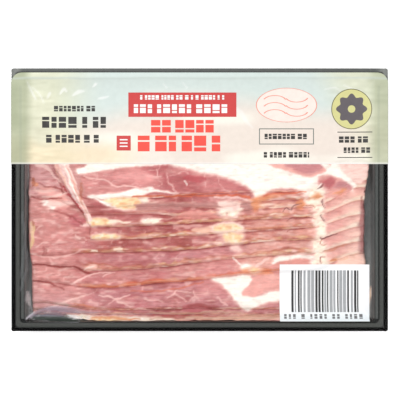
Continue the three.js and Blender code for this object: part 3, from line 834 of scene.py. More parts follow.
    (BLOOD, 0.8, [(-80.8, -0.4, 0.3), (-79.4, -1.4, 0.9), (-77.6, -1.2, 0.3)]),
    (BLOOD, 0.7, [(-77.6, -4.6, 0.3), (-76, -5.4, 0.9), (-74.6, -4.8, 0.3)]),
    (DARK_RED, 0.7, [(-81.3, -9.4, 0.4), (-79.4, -11.6, 0.9), (-77, -13.6, 0.6), (-74.6, -16, 0.9)]),
    (ROSE, 0.8, [(-33, 3.3, 0.6), (-27, 3.9, 1.2), (-18, 3.3, 0.6)]),
    (RUST, 0.7, [(-80, -65.9, 0.6), (-75, -66.8, 1.3), (-70.5, -67.8, 1.3), (-66, -68.6, 0.4)]),
    (VEIN, 0.8, [(-98, -68.6, 0.5), (-90, -66.4, 0.9), (-82, -63.4, 1), (-74, -61.8, 0.5)]),
    (DARK_RED, 0.6, [(-33, -69.6, 0.8), (-26, -69.9, 1.8), (-20, -70.4, 2), (-12, -70.2, 1.2)]),
    (DARK_RED, 0.5, [(-8, -68, 1), (-3, -67, 2), (3, -67.4, 2.4), (8.5, -69.6, 1)]),
    (ORANGE, 0.5, [(-44, -57.6, 0.8), (-30, -58.2, 1), (-12, -56, 0.9), (2, -52, 0.8)]),
    # The curled ends of the strips beside the column of fat, with painted shadow at the curls
    (SHADOW, 0.8, [(77.5, 0.5, 0.4), (77.5, -2.5, 0.6), (79.5, -5, 0.3)]),
    (SHADOW, 0.8, [(77, -9.5, 0.4), (78, -12, 0.6), (79, -14, 0.3)]),
    (SHADOW, 0.8, [(76, -24, 0.4), (77.5, -24.5, 0.6), (83, -22.5, 0.5), (87.5, -21.5, 0.3)]),
    (BROWN, 0.8, [(77, -25, 0.4), (76.5, -27.5, 0.6), (77.5, -28.5, 0.6), (80, -28.5, 0.4)]),
    (DARK_RED, 0.8, [(80, -36.5, 0.4), (76.8, -36.5, 0.6), (76.2, -38.5, 0.6), (77.5, -40, 0.5)]),
    (SHADOW, 0.7, [(53.5, -7, 0.4), (55, -5, 0.6), (57.5, -6, 0.5), (59.5, -4, 0.5), (64, -2.5, 0.3)]),
    (BROWN, 0.7, [(67.5, -3.5, 0.4), (71, -4, 0.5), (73, -5, 0.3)]),
    (SHADOW, 0.7, [(74.2, 6.4, 0.3), (76, 7.8, 0.6), (78.2, 9.6, 0.3)]),
    # A painted highlight along that curl
    (FAT, 0.8, [(74.6, 7.6, 0.4), (77, 9.6, 0.7)]),
    (DARK_RED, 0.7, [(54.5, -13.5, 0.4), (57.5, -12, 0.6), (64, -11, 0.5), (73, -11.5, 0.4)]),
    (DARK_RED, 0.7, [(55, -21, 0.4), (57, -19, 0.6), (62, -18.5, 0.5), (70.5, -17.5, 0.3)]),
    (AMBER, 0.8, [(83, -38.9, 0.8), (85.5, -38.4, 1.6), (88, -38.2, 0.8)]),
    (RUST, 0.7, [(83.8, -38.6, 0.4), (85.4, -38.2, 0.8), (87, -38.4, 0.4)]),
    (PALE_TAN, 0.9, [(88, -38.4, 0.6), (93, -37.2, 1.5), (99, -35.5, 1.7), (103, -34.2, 0.8)]),
    # Painted contact shadow under the curl
    (DULL_TAN, 0.75, [(79.5, -32.6, 0.8), (83, -31.8, 2.2), (88, -29.8, 1.6), (94, -28, 0.5)]),
    (FAT, 0.9, [(78, 23.5, 2.5), (84.5, 17.5, 3), (92, 14, 3), (98, 8.5, 2)]),
    (SHADOW, 0.9, [(106.5, 14, 0.6), (106.5, 9, 1.4), (104.5, 5, 0.8)]),
    # Painted shade down the shaded right side of the pile
    (DARK_RED, 0.5, [(102.6, 2, 1), (102.6, -9.5, 1.8), (103, -22.5, 1.8), (103.2, -33, 1)]),
    (ORANGE, 0.7, [(40.5, 2.4, 1), (46, 3.6, 1.2), (56.5, 4.2, 1.2), (67, 5.4, 0.8)]),
]
# Soft tints: colour, strength, and the left, right, front and back of where it lies
TINT_SOFTNESS = 5
TINTS = [
    (ROSE, 0.3, -79, -27, -51, -32),
    (ROSE, 0.6, -54, -27, -16, -6),
    (BLUSH, 0.45, 0, 26, 2, 12),
    (BLUSH, 0.5, -1, 25, -60, -34),
    (BLUSH, 0.2, -84, -62, -24, -13),
    (PALE_STRIP, 0.35, 25, 52, -47, -33),
    (BLUSH, 0.45, 77, 93, -35, -1),
    (PINK_FAT, 0.35, 93, 112, -40, 0),
    (LILAC, 0.6, -114, -84, -73, -59),
]
# The strip that each rasher shows, from its front edge back: how wide its cut side looks, that
# side's colour, the line behind it with its strength, the lean behind that, the edge's shade, and
# the place to the left of which the side fades away
STRIPS = [
    dict(side=2.2, tone=PALE_TAN, line=TAN, shown=0.3, lean=ROSE, shade=0.3, fade=-200),
    dict(side=1.5, tone=PALE_TAN, line=ROSE, shown=0.6, lean=LEAN, shade=0.3, fade=-200),
    dict(side=1.1, tone=TAN, line=MAUVE, shown=0.4, lean=LEAN, shade=0.4, fade=-200),
    dict(side=2.3, tone=ORANGE, line=BROWN, shown=0.5, lean=LIGHT_LEAN, shade=0.3, fade=-80),
    dict(side=3.2, tone=TAN, line=BROWN, shown=1, lean=LEAN, shade=0.5, fade=-78),
    dict(side=2.8, tone=TAN, line=BROWN, shown=1, lean=MAUVE, shade=0.6, fade=-84),
    dict(side=2.6, tone=TAN, line=RUST, shown=0.9, lean=MAUVE, shade=0.6, fade=-200),
    dict(side=3, tone=TAN, line=BROWN, shown=0.6, lean=MAUVE, shade=0.6, fade=-200),
    dict(side=2.8, tone=PALE_TAN, line=RUST, shown=0.7, lean=MAUVE, shade=0.5, fade=-58),
    dict(side=3, tone=TAN, line=TAN, shown=0.4, lean=MAUVE, shade=0.4, fade=-44),
    dict(side=0.8, tone=ORANGE, line=PALE_ORANGE, shown=0.5, lean=ROSE, shade=0.2, fade=-40),
]
# The middle rashers, whose cut sides have sandy and brown flecks
FLECKED = (5, 6, 7, 8)
# The rasher whose orange cut side is paler along its middle
PALE_CORED = 4
# The lowest rashers, with a weaker painted contact shadow where the next one lies on them
FAINT_CONTACT_SHADE = {1: 0.45, 2: 0.45}
# Flecks in two kinds of fat: their colour, their strength and the span of noise they take
FLECKS = {
    YELLOW_FAT: [(FAT, 0.55, -0.1, -0.8), (AMBER, 0.5, 0.1, 0.9)],
    CREAM: [(LIGHT_LEAN, 0.45, 0.3, 1), (FAT, 0.7, -0.1, -0.7)],
}
# The span along the pack over which the look of the right end sets in
RIGHT_TURN = (74, 82)
# How far outside its outline or line a place can still take its colour
AREA_MARGIN = 6
STREAK_MARGIN = 5
CURVE_STEPS = 4
# The features' places were read where the film lies, a little nearer to the camera than the meat
MEAT_SCALE = 0.9915
# Painted shade on the right side of the pile
RIGHT_SIDE_SHADE = (158, 106, 106)


def curved(points, closed):
    """A smooth line through the points, with the same number of steps from each to the next."""
    points = np.asarray(points, float)
    if closed:
        padded = np.concatenate([points[-1:], points, points[:2]])
    else:
        padded = np.concatenate([points[:1], points, points[-1:]])
    a, b, c, d = padded[:-3], padded[1:-2], padded[2:-1], padded[3:]
    line = []
    for step in range(CURVE_STEPS):
        t = step / CURVE_STEPS
        bend = (2 * a - 5 * b + 4 * c - d) * t**2 + (3 * b - a - 3 * c + d) * t**3
        line.append(b + ((c - a) * t + bend) / 2)
    line = np.stack(line, axis=1).reshape(-1, points.shape[1])
    return line if closed else np.concatenate([line, points[-1:]])


def near_line(x, y, line):
    """How far each place is outside a line that has a width at each of its points."""
    nearest = np.full(x.shape, 1e3)
    for (ax, ay, aw), (bx, by, bw) in zip(line[:-1], line[1:]):
        dx, dy = bx - ax, by - ay
        along = np.clip(((x - ax) * dx + (y - ay) * dy) / (dx * dx + dy * dy), 0, 1)
        away = np.hypot(x - ax - along * dx, y - ay - along * dy) - (aw + (bw - aw) * along) / 2
        nearest = np.minimum(nearest, away)
    return nearest


def inside_of(x, y, outline):
    """How far each place is inside an outline, below 0 outside it."""
    closed = np.concatenate([outline, outline[:1]])
    within = np.zeros(x.shape, bool)
    for (ax, ay), (bx, by) in zip(closed[:-1], closed[1:]):
        if ay == by:
            continue
        crosses = (ay > y) != (by > y)
        within ^= crosses & (x < ax + (bx - ax) * (y - ay) / (by - ay))
    away = near_line(x, y, np.column_stack([closed, np.zeros(len(closed))]))
    return np.where(within, away, -away)


def boxed(x, y, points, margin):
    """The places near enough to some points to be painted by them."""
    low, high = np.min(points, axis=0) - margin, np.max(points, axis=0) + margin
    return (x > low[0]) & (x < high[0]) & (y > low[1]) & (y < high[1])


def lean_paint(number, x, y):
    """Lean meat, lighter and deeper in soft patches drawn out along the rasher."""
    paint = flat_paint(STRIPS[number - 1]["lean"], len(x))
    paint = covered(paint, LEAN, 0.45 * smooth(-0.2, 0.6, noise(x / 2, y, 7, 100 + number)))
    paint = covered(paint, LIGHT_LEAN, 0.6 * smooth(0, 0.8, noise(x / 2.5, y, 6, 120 + number)))
    paint = covered(paint, DEEP_LEAN, 0.5 * smooth(0.1, 0.9, noise(x / 5, y, 1.8, 140 + number)))
    if number == len(RASHERS):
        paint = covered(paint, LIGHT_LEAN, 0.6 * smooth(-30, -56, x))
    paint = covered(paint, LIGHT_LEAN, 0.8 * smooth(-62, -82, x))
    paint = covered(paint, LILAC, 0.7 * smooth(-76, -86, x) * smooth(-2, 6, y))
    pale_end = smooth(20, 38, x) * smooth(-52, -42, y) * smooth(2, -3, y)
    paint = covered(paint, PALE_STRIP, 0.72 * pale_end)
    paint = covered(paint, PALE_SALMON, 0.8 * smooth(74, 84, x) * smooth(-45, -35, y))
    thread = np.abs(noise(x / 3, y, 3.4, 160 + number))
    where = smooth(0, 0.5, noise(x, y, 11, 180 + number))
    return covered(paint, VEIN, 0.5 * smooth(0.1, 0.02, thread) * where)


def side_paint(number, x, y):
    """The cut side of a rasher: its own tone, uneven with pink, brown, sand and cream."""
    side = flat_paint(STRIPS[number - 1]["tone"], len(x))
    lane = y * 1.6 + number * 23.1
    side = covered(side, LIGHT_LEAN, 0.8 * smooth(0, 0.5, noise(x / 2.5, lane, 2.2, 211)))
    side = covered(side, BROWN, 0.45 * smooth(0.2, 0.8, noise(x / 3.5, lane, 1.5, 212)))
    side = covered(side, PINK_FAT, 0.85 * smooth(0.15, 0.6, noise(x / 2.5, lane, 2.6, 213)))
    if number in FLECKED:
        side = covered(side, SAND, 0.6 * smooth(-0.1, 0.4, noise(x / 2, lane, 1.6, 216)))
        side = covered(side, BROWN, 0.4 * smooth(0.2, 0.7, noise(x / 2.5, lane, 1.2, 217)))
    return covered(side, CREAM, 0.8 * smooth(0.3, 0.7, noise(x / 3, lane, 1.9, 214)))


def edge_paint(paint, number, x, y):
    """The cut side that a strip shows at its front, with the lines behind and before it."""
    look = STRIPS[number - 1]
    lane = number * 23.1
    behind = y - front_edge(number, x)
    ragged = behind + 0.35 * noise(x / 3, y, 1.6, 208)
    width = look["side"] * (1 + 0.4 * noise(x, lane, 9, 201) + 0.3 * noise(x, lane, 3.2, 207))
    side = side_paint(number, x, y)
    if number == PALE_CORED:
        orange = covered(flat_paint(ORANGE, len(x)), PALE_ORANGE, 0.8 * bell(behind - 1.3, 0.5))
        side = covered(orange, PALE_TAN, 0.5 * smooth(0.2, 0.7, noise(x / 2, y, 4, 215)))
    at_right = smooth(76, 84, x)
    side = covered(side, CREAM, 0.6 * at_right)
    fade = smooth(look["fade"], look["fade"] + 8, x)
    band = smooth(0, 0.35, behind) * smooth(width + 0.5, width - 0.5, ragged)
    paint = covered(paint, side, 0.9 * band * fade)
    shown = look["shown"] * smooth(-0.6, 0.2, noise(x, lane, 12, 205)) * fade * (1 - 0.8 * at_right)
    paint = covered(paint, look["line"], 0.75 * shown * bell(ragged - width, 0.6))
    # Painted shade in dark red along the front edge's lip
    shade = look["shade"] * smooth(0.45, 0, behind) * (0.35 + 0.65 * fade)
    shade = shade * (1 - 0.7 * smooth(*RIGHT_TURN, x))
    paint = covered(paint, DARK_RED, shade * (0.5 + 0.5 * noise(x, lane, 7, 206)))
    if number < len(RASHERS):
        ahead = front_edge(number + 1, x) - y
        inside_next = smooth(-1, 1, x - left_end(number + 1, y))
        lost = 0.3 * smooth(22, 32, x) + 0.35 * smooth(*RIGHT_TURN, x) + 0.4 * smooth(-70, -80, x)
        # Painted contact shadow in dark red in front of the next rasher's front edge
        contact_shade = (0.75 + 0.25 * noise(x, lane, 9, 209)) * (1 - lost) * FAINT_CONTACT_SHADE.get(number, 1)
        paint = covered(paint, DARK_RED, contact_shade * smooth(1.5, 0, ahead) * inside_next)
    return paint


def mottled(paint, x, y, strength=1.0):
    """Small uneven flecks, paler and deeper, most drawn along the rashers; the pale ones partly painted
    sheen.
    """
    # Pale pink flecks: partly fat, partly a painted sheen on the wet meat
    paint = covered(paint, PINK_FAT, 0.45 * strength * smooth(0.25, 0.8, noise(x / 2.6, y, 1.5, 221)))
    paint = covered(paint, DARK_RED, 0.26 * strength * smooth(0.2, 0.9, noise(x / 3, y, 1.3, 222)))
    light = 8 * strength * noise(x / 1.5, y, 1.9, 223) + 7 * strength * noise(x / 2, y, 5, 224)
    return paint + light[:, None]


def tinted(paint, x, y):
    """The soft tints, their borders blurred and uneven."""
    for colour, strength, left, right, front, back in TINTS:
        within = np.minimum(np.minimum(x - left, right - x), np.minimum(y - front, back - y))
        share = smooth(-TINT_SOFTNESS, TINT_SOFTNESS, within + 2 * noise(x, y, 6, 91))
        paint = covered(paint, colour, strength * share)
    return paint


def right_lines(paint, number, x, y, behind):
    """The pale folded edges of the rashers' right ends, partly a painted highlight, with painted shade
    between them.
    """
    at_right = smooth(75, 82, x)
    if number < len(RASHERS):
        ahead = front_edge(number + 1, x / MEAT_SCALE) - y / MEAT_SCALE
        # Painted shade in front of the next rasher's edge
        paint = covered(paint, DUSK, 0.5 * at_right * smooth(4.5, 0, ahead))
    # A cream line on each folded edge, partly its pale fat and partly a painted highlight
    paint = covered(paint, CREAM, 0.55 * at_right * bell(behind - 1.3, 1.1))
    # Painted shade in dull tan at the edge itself
    return covered(paint, DULL_TAN, 0.4 * at_right * bell(behind - 0.1, 0.35))


def paint_areas(paint, x, y, seen_x, seen_y):
    """The outlined areas, in place. Fat turns pink round its edge, and some of it is flecked."""
    flecks = noise(x / 1.6, y, 1.2, 78) + 0.5 * noise(x, y, 2.6, 79)
    tatter = noise(x / 4, y, 1.1, 75) + 0.4 * noise(x / 2, y, 0.8, 76)
    for colour, soft, ragged, outline in AREAS:
        chosen = boxed(x, y, outline, AREA_MARGIN)
        torn_x = seen_x[chosen] + ragged * tatter[chosen]
        depth = inside_of(torn_x, seen_y[chosen], curved(outline, True))
        if colour in (FAT, CREAM, YELLOW_FAT):
            paint[chosen] = covered(paint[chosen], PINK_FAT, 0.7 * smooth(-1.4 * soft, 0.3, depth))
        flecked = flat_paint(colour, len(depth))
        for fleck, strength, low, high in FLECKS.get(colour, ()):
            flecked = covered(flecked, fleck, strength * smooth(low, high, flecks[chosen]))
        share = smooth(-soft / 2, soft / 2, depth)
        paint[chosen] = covered(paint[chosen], flecked, 0.95 * share)


def paint_streaks(paint, x, y, seen_x, seen_y):
    """The streaks and veins, in place."""
    for colour, strength, line in STREAKS:
        chosen = boxed(x, y, np.asarray(line)[:, :2], STREAK_MARGIN)
        away = near_line(seen_x[chosen], seen_y[chosen], curved(line, False))
        paint[chosen] = covered(paint[chosen], colour, strength * smooth(0.4, -0.3, away))


def rasher_paint(number, x, y):
    """Every colour of a rasher at its own places."""
    paint = edge_paint(lean_paint(number, x, y), number, x, y)
    calm = np.maximum(smooth(-66, -60, x) * smooth(4, 8, y), 0.8 * smooth(*RIGHT_TURN, x))
    paint = mottled(paint, x, y, 1 - 0.7 * calm)
    streaky = noise(x / 9, y, 0.9, 77) * smooth(4, 0, y) * smooth(-62, -50, x)
    paint = covered(paint, DARK_RED, 0.3 * smooth(0.3, 0.9, streaky))
    paint = covered(paint, PALE_TAN, 0.3 * smooth(-0.3, -0.9, streaky))
    x, y = x * MEAT_SCALE, y * MEAT_SCALE
    seen_x = x + 0.7 * noise(x, y, 3.4, 71) + 0.3 * noise(x, y, 1.3, 73)
    seen_y = y + 0.45 * noise(x, y, 3.4, 72) + 0.2 * noise(x, y, 1.3, 74)
    behind = y / MEAT_SCALE - front_edge(number, x / MEAT_SCALE) + 0.25 * noise(x / 2, y, 3, 92)
    paint = right_lines(tinted(paint, x, y), number, x, y, behind)
    paint_areas(paint, x, y, seen_x, seen_y)
    paint_streaks(paint, x, y, seen_x, seen_y)
    # The right end's side is painted in shade, with a painted shadow at its very edge
    end = right_end(number, y / MEAT_SCALE) - x / MEAT_SCALE
    beside = smooth(2, -4, y) * smooth(-38, -33, y)
    paint = covered(paint, RIGHT_SIDE_SHADE, 0.6 * smooth(4.4, 1.8, end + 1.4 * noise(x, y, 4, 85)) * beside)
    paint = covered(paint, SHADOW, 0.35 * smooth(1.4, 0.4, end) * beside)
    return mottled(paint, x + 40, y, 0.35)


def rasher_grid(number):
    """A rasher's points from above, in rows from its front edge back."""
    start = SLANTED_END if number in SLANTED else LEFT_END
    nominal = np.arange(start, RIGHT_END + RASHER_STEP, RASHER_STEP)
    nominal = np.linspace(start, RIGHT_END, len(nominal))
    seen = RASHERS[number - 1]["seen"]
    dense = np.concatenate([EDGE_ROWS, np.arange(FIRST_EVEN_ROW, seen, ROW_STEP)])
    hidden = np.array(HIDDEN_ROWS)
    x = np.tile(nominal, (len(dense) + len(hidden), 1))
    for _ in range(4):
        y = place_rows(number, x, dense, hidden)
        at_left = 1 - smooth(start, start + 22, nominal)
        at_right = smooth(70, RIGHT_END, nominal)
        moved_left = (left_end(number, y) - start) * at_left
        x = nominal + moved_left + (right_end(number, y) - RIGHT_END) * at_right
    return x, y


def place_rows(number, x, dense, hidden):
    """The rows' places, close together where a rasher is seen and wide apart where it is hidden."""
    front = front_edge(number, x)
    depth = back_edge(number, x) - front
    reach = np.minimum(depth * 0.9, dense[-1])
    near = front[: len(dense)] + dense[:, None] * (reach / dense[-1])[: len(dense)]
    far = (front + reach)[len(dense):] + hidden[:, None] * (depth - reach)[len(dense):]
    return np.concatenate([near, far])


def make_rashers():
    material = meat_material()
    for number, support in enumerate(SUPPORTS, start=1):
        x, y = rasher_grid(number)
        rows, columns = x.shape
        x, y = x.ravel(), y.ravel()
        lower = field_at(support, x, y)
        thickness = pressed(slice_thickness(number, x, y), lower)
        points = slab_points(x, y, lower, lower + np.maximum(thickness, RIM_THICKNESS))
        paint = rasher_paint(number, x, y)
        name = f"rasher_{number:02d}"
        both = np.concatenate([paint, paint])
        piece(name + "_meat", points, slab_faces(rows, columns), material, [name], both)


# The film and all that lies on it
def film_height(x, y):
    return field_at(FILM, x, y)


def rounded_back(x, y):
    """The film's back corners are cut round."""
    beyond_x = np.abs(x) - (HALF_LENGTH - FILM_CORNER)
    beyond_y = y - (FILM_BACK - FILM_CORNER)
    reach = np.hypot(beyond_x, beyond_y)
    share = FILM_CORNER / np.maximum(reach, FILM_CORNER)
    cut = (beyond_x > 0) & (beyond_y > 0)
    new_x = np.where(cut, np.sign(x) * (HALF_LENGTH - FILM_CORNER + beyond_x * share), x)
    new_y = np.where(cut, FILM_BACK - FILM_CORNER + beyond_y * share, y)
    return new_x, new_y


def even_grid(low_x, high_x, low_y, high_y, step):
    """Evenly spaced places over a rectangle, as a grid of rows and columns."""
    columns = max(2, round((high_x - low_x) / step) + 1)
    rows = max(2, round((high_y - low_y) / step) + 1)
    return np.meshgrid(np.linspace(low_x, high_x, columns), np.linspace(low_y, high_y, rows))


FILM_GREY = (200, 200, 205)
# Milky folds of the film, with painted shadow, shade, highlights and reflections: colour, strength, and
# their line with its widths
FILM_FOLDS_AND_PAINTED_LIGHT = [
    # A painted shadow over the tray's front wall
    ((48, 58, 53), 0.85, [(-105.5, -75.4, 1.5), (-94, -75.8, 2.6), (-85, -76.4, 2.4), (-77, -77.4, 0.8)]),
    # Milky grey-lilac folds
    ((158, 144, 158), 0.6, [(-108, -75.3, 1.2), (-104, -72.5, 2.6), (-98.4, -70.3, 3.2),
        (-91.2, -69.9, 3.8), (-83.2, -70.8, 3.2), (-75.2, -71.6, 2), (-66, -72.3, 0.8)]),
    ((178, 146, 146), 0.4, [(-75, -71.6, 2), (-64, -72.3, 1.2), (-48, -72.9, 0.9), (-30, -73.4, 0.5)]),
    ((122, 116, 132), 0.6, [(-101, -73.7, 1), (-93.6, -72.9, 2.2), (-86.4, -73.9, 1.2)]),
    # Painted shade along the folds' creases
    ((66, 62, 76), 0.75, [(-105, -73.9, 0.4), (-101.6, -71.8, 0.8), (-98.4, -70.9, 0.4)]),
    ((72, 68, 82), 0.7, [(-94.5, -71.3, 0.4), (-88.8, -72.1, 0.7), (-84, -73.7, 0.4)]),
    # Painted highlights on the folds
    ((222, 218, 226), 0.75, [(-110.2, -76.2, 0.5), (-108, -74.1, 1.1), (-105.3, -71.7, 0.5)]),
    ((242, 240, 240), 0.8, [(-84.4, -73.9, 0.5), (-80, -74.6, 1.4), (-74.5, -75.5, 0.5)]),
    ((226, 216, 224), 0.6, [(-97.5, -69.2, 0.3), (-91.2, -68.1, 0.6), (-84.8, -68.7, 0.4)]),
    # A painted reflection on the film at the left wall
    ((206, 192, 192), 0.5, [(-109.6, -58.5, 0.6), (-109.2, -62, 1.8), (-109.3, -66, 1.2),
        (-108.4, -69.5, 0.5)]),
    # A pale streak at the right end, and a dark one in the front left corner
    ((228, 196, 170), 0.8, [(108.4, -55, 0.5), (108.8, -58.5, 1.4), (108.6, -63.5, 1),
        (108.2, -67, 0.5)]),
    ((20, 20, 22), 0.7, [(-110.6, -67, 0.4), (-108.6, -69, 0.9), (-108.4, -71.5, 0.4)]),
    # Painted reflections where the film goes down the left wall
    ((128, 130, 133), 0.4, [(-111.6, -28, 0.4), (-109.8, -38, 0.6), (-111.2, -48, 0.5),
        (-113.4, -57, 0.4)]),
    ((120, 122, 124), 0.35, [(-113.2, -8, 0.4), (-111.4, -22, 0.5), (-112.6, -36, 0.4),
        (-114, -50, 0.4)]),
]


def make_film():
    x, y = even_grid(-HALF_LENGTH, HALF_LENGTH, -HALF_WIDTH, FILM_BACK, FILM_STEP)
    x, y = rounded_back(x, y)
    rows, columns = x.shape
    x, y = x.ravel(), y.ravel()
    points = np.stack([x, y, film_height(x, y)], 1)
    paint = flat_paint(FILM_GREY, len(x))
    haze_and_painted_light = np.zeros(len(x))
    seen_x, seen_y = x + 0.8 * noise(x, y, 4, 81), y + 0.4 * noise(x, y, 4, 82)
    # Each fold's paint and its share, painted light and shade among them
    for colour, strength, line in FILM_FOLDS_AND_PAINTED_LIGHT:
        share = strength * smooth(0.7, -0.5, near_line(seen_x, seen_y, curved(line, False)))
        paint = covered(paint, colour, np.maximum(smooth(0, 0.2, share) * (haze_and_painted_light < 0.05), share))
        haze_and_painted_light = np.maximum(haze_and_painted_light, share)
    faces, material = grid_faces(rows, columns), film_material()
    film = piece("lid_film_sheet", points, faces, material, ["lid_film"], paint, haze_and_painted_light)
    film.visible_shadow = False


def make_printed_slab(name, x, y, lift, painted, material, node):
    """A thin painted slab on the film in place of a node, which throws no shade on the meat."""
    rows, columns = x.shape
    x, y = x.ravel(), y.ravel()
    upper = film_height(x, y) + lift
    points = slab_points(x, y, upper - BAND_THICKNESS, upper)
    paint = painted(x, y)
    both = np.concatenate([paint, paint])
    slab = piece(name, points, slab_faces(rows, columns), material, [node], both)
    slab.visible_shadow = False
    slab.visible_diffuse = False


# The printed band
BAND_LIFT = 0.22
BAND_THICKNESS = 0.16
INK_LIFT = 0.05
SKY_WHITE = (212, 224, 219)
WARM_WHITE = (237, 224, 213)
PAPER_CREAM = (222, 222, 192)
FRONT_CREAM = (244, 224, 188)
CLOUD_WHITE = (250, 246, 234)
FLANGE_OLIVE = (158, 166, 134)
RIM_SHADE = (150, 158, 140)
BACK_RIM_SHADE = (196, 206, 200)
OVAL_WHITE = (246, 233, 224)
INK_RED = (208, 66, 64)
INK_BRIGHT_RED = (245, 82, 68)
INK_BLACK = (52, 50, 48)
INK_AND_GLINT_WHITE = (250, 250, 248)
INK_GOLD = (216, 212, 146)
INK_SALMON = (244, 150, 132)
FRAME_GREY = (104, 114, 109)
SEAL_OLIVE = (112, 108, 78)
SEAL_GREY = (98, 91, 95)
# White glints where the film is creased over the print: strength, and line with its widths
GLINTS = [
    (0.7, [(-110, 75.5, 0.5), (-107.6, 70, 1), (-104.4, 64, 0.6)]),
    (0.5, [(-107, 72, 0.4), (-102, 67, 0.8), (-99.5, 62, 0.5)]),
    (0.6, [(-89, 67.8, 1), (-86.5, 70.6, 2), (-85, 69, 0.8)]),
    (0.6, [(-81, 66.6, 0.8), (-77.5, 68.8, 2.4), (-74, 69.4, 1)]),
    (0.5, [(-97, 65.4, 1.2), (-95.6, 68, 1.8)]),
    (0.7, [(-67.8, 72.2, 0.8), (-66.3, 73.8, 1.6)]),
    (0.6, [(-65, 64.6, 0.6), (-61.4, 65.2, 1.4), (-58.4, 65.8, 0.5)]),
    (0.5, [(-23, 74, 0.4), (-21, 71.5, 0.7)]),
    (0.5, [(-11, 75, 0.4), (-8, 71.5, 0.7)]),
    (0.5, [(92, 73, 0.5), (98, 70.5, 1.2), (103, 69.5, 0.6)]),
    (0.4, [(80, 70.5, 0.5), (86, 71.5, 1), (90, 69.5, 0.5)]),
    (0.4, [(20, 60, 0.5), (26, 56, 3), (30, 50, 2), (34, 46, 0.5)]),
]


def band_paint(x, y):
    """The printed band's ground: blue-white at the back, warm white in front, cream at the left, with
    painted light and shade.
    """
    paint = flat_paint(WARM_WHITE, len(x))
    drift = y + 5 * noise(x, y, 26, 301) + 9 * smooth(-20, -60, x) + 6 * smooth(30, 70, x)
    paint = covered(paint, SKY_WHITE, smooth(50, 70, drift))
    clouds = smooth(0.1, 0.7, noise(x / 2, y, 13, 306)) * smooth(74, 60, y)
    paint = covered(paint, CLOUD_WHITE, 0.8 * clouds)
    cream = smooth(-56, -92, x + 4 * noise(x, y, 18, 302))
    paint = covered(paint, PAPER_CREAM, 0.8 * cream)
    paint = covered(paint, PAPER_CREAM, 0.75 * smooth(76, 106, x + 0.5 * y - 30))
    at_left = smooth(-30, -60, x) * smooth(42, 30, y + 3 * noise(x, y, 10, 307))
    paint = covered(paint, FRONT_CREAM, 0.7 * at_left)
    # Lighter and darker ripples near the ends: painted light and shade of the film's creases over the
    # print
    ripple = noise(x / 5 + 0.3 * y, y, 1.8, 308) + 0.5 * noise(x / 4, y - 0.1 * x, 1.3, 309)
    paint = paint + (10 * ripple * smooth(78, 98, np.abs(x) + 6 * noise(x, y, 12, 310)))[:, None]
    # Painted glints
    for strength, line in GLINTS:
        away = near_line(x, y, curved(line, False))
        paint = covered(paint, INK_AND_GLINT_WHITE, strength * smooth(0.5, -0.4, away))
    over_flange = smooth(HALF_LENGTH - 15, HALF_LENGTH - 7, np.abs(x))
    olive = over_flange * (0.9 - 0.3 * (x > 0)) * (0.85 + 0.15 * noise(x, y, 7, 304))
    paint = covered(paint, FLANGE_OLIVE, olive)
    rim = np.abs(np.abs(x) - (HALF_LENGTH - 6)) + 3 * smooth(72, 77, y)
    paint = covered(paint, RIM_SHADE, 0.3 * smooth(0.8, 0.2, rim))
    back_rim = np.abs(y - 77.5 - 0.3 * noise(x, y, 12, 305))
    paint = covered(paint, BACK_RIM_SHADE, 0.6 * smooth(0.9, 0.2, back_rim))
    return covered(paint, INK_AND_GLINT_WHITE, 0.8 * smooth(PRINT_FRONT + 1.2, PRINT_FRONT + 0.4, y))


def make_band():
    x, y = even_grid(-HALF_LENGTH, HALF_LENGTH, PRINT_FRONT, FILM_BACK, PRINT_STEP)
    x, y = rounded_back(x, y)
    material = print_material("printed_ground")
    make_printed_slab("printed_band_ground", x, y, BAND_LIFT, band_paint, material,
        "printed_band")


class Ink:
    """Flat shapes of one colour that follow the film, gathered for one mesh."""

    def __init__(self, name, colour, lift):
        self.name, self.colour, self.lift = name, colour, lift
        self.points, self.faces, self.count = [], [], 0

    def add(self, x, y, faces):
        self.points.append(np.stack([x, y, film_height(x, y) + self.lift], 1))
        self.faces.append(faces + self.count)
        self.count += len(x)

    def block(self, left, right, front, back):
        x, y = even_grid(left, right, front, back, 1.0)
        self.add(x.ravel(), y.ravel(), grid_faces(*x.shape))

    def ring(self, centre, inner, outer, scallops=0, depth=0, squash=1, turn=(0, 2 * np.pi)):
        """A ring or part of one, or a disc where its inner radius is 0."""
        angle = np.linspace(*turn, 73)
        share = np.linspace(0, 1, max(2, round(outer - inner) + 1))[:, None]
        edge = outer + depth * np.cos(scallops * angle)
        radius = inner + (edge - inner) * share
        x = centre[0] + radius * np.cos(angle)
        y = centre[1] + radius * np.sin(angle) * squash
        self.add(x.ravel(), y.ravel(), grid_faces(*x.shape)[:, ::-1])

    def word(self, left, right, front, back, seed, gap=0.32):
        """A row of plain blocks of uneven width, each cut by a slit, as dense as small type."""
        rng = np.random.default_rng(seed)
        height = back - front
        size = height * 0.62
        place = left
        while place < right - size * 0.4:
            width = min(size * rng.uniform(0.7, 1.3), right - place)
            slit = front + height * rng.choice([0.3, 0.5, 0.66])
            self.block(place, place + width, front, slit - 0.05 * height)
            self.block(place, place + width, slit + 0.05 * height, back)
            place += width + size * gap * rng.choice([1, 1, 1, 2.6])

    def make(self, slot="printed_film"):
        paint = flat_paint(self.colour, self.count)
        points, faces = np.concatenate(self.points), np.concatenate(self.faces)
        material = print_material(self.name + "_ink", 0.38, 0.06)
        piece(self.name, points, faces, material, paint=paint)


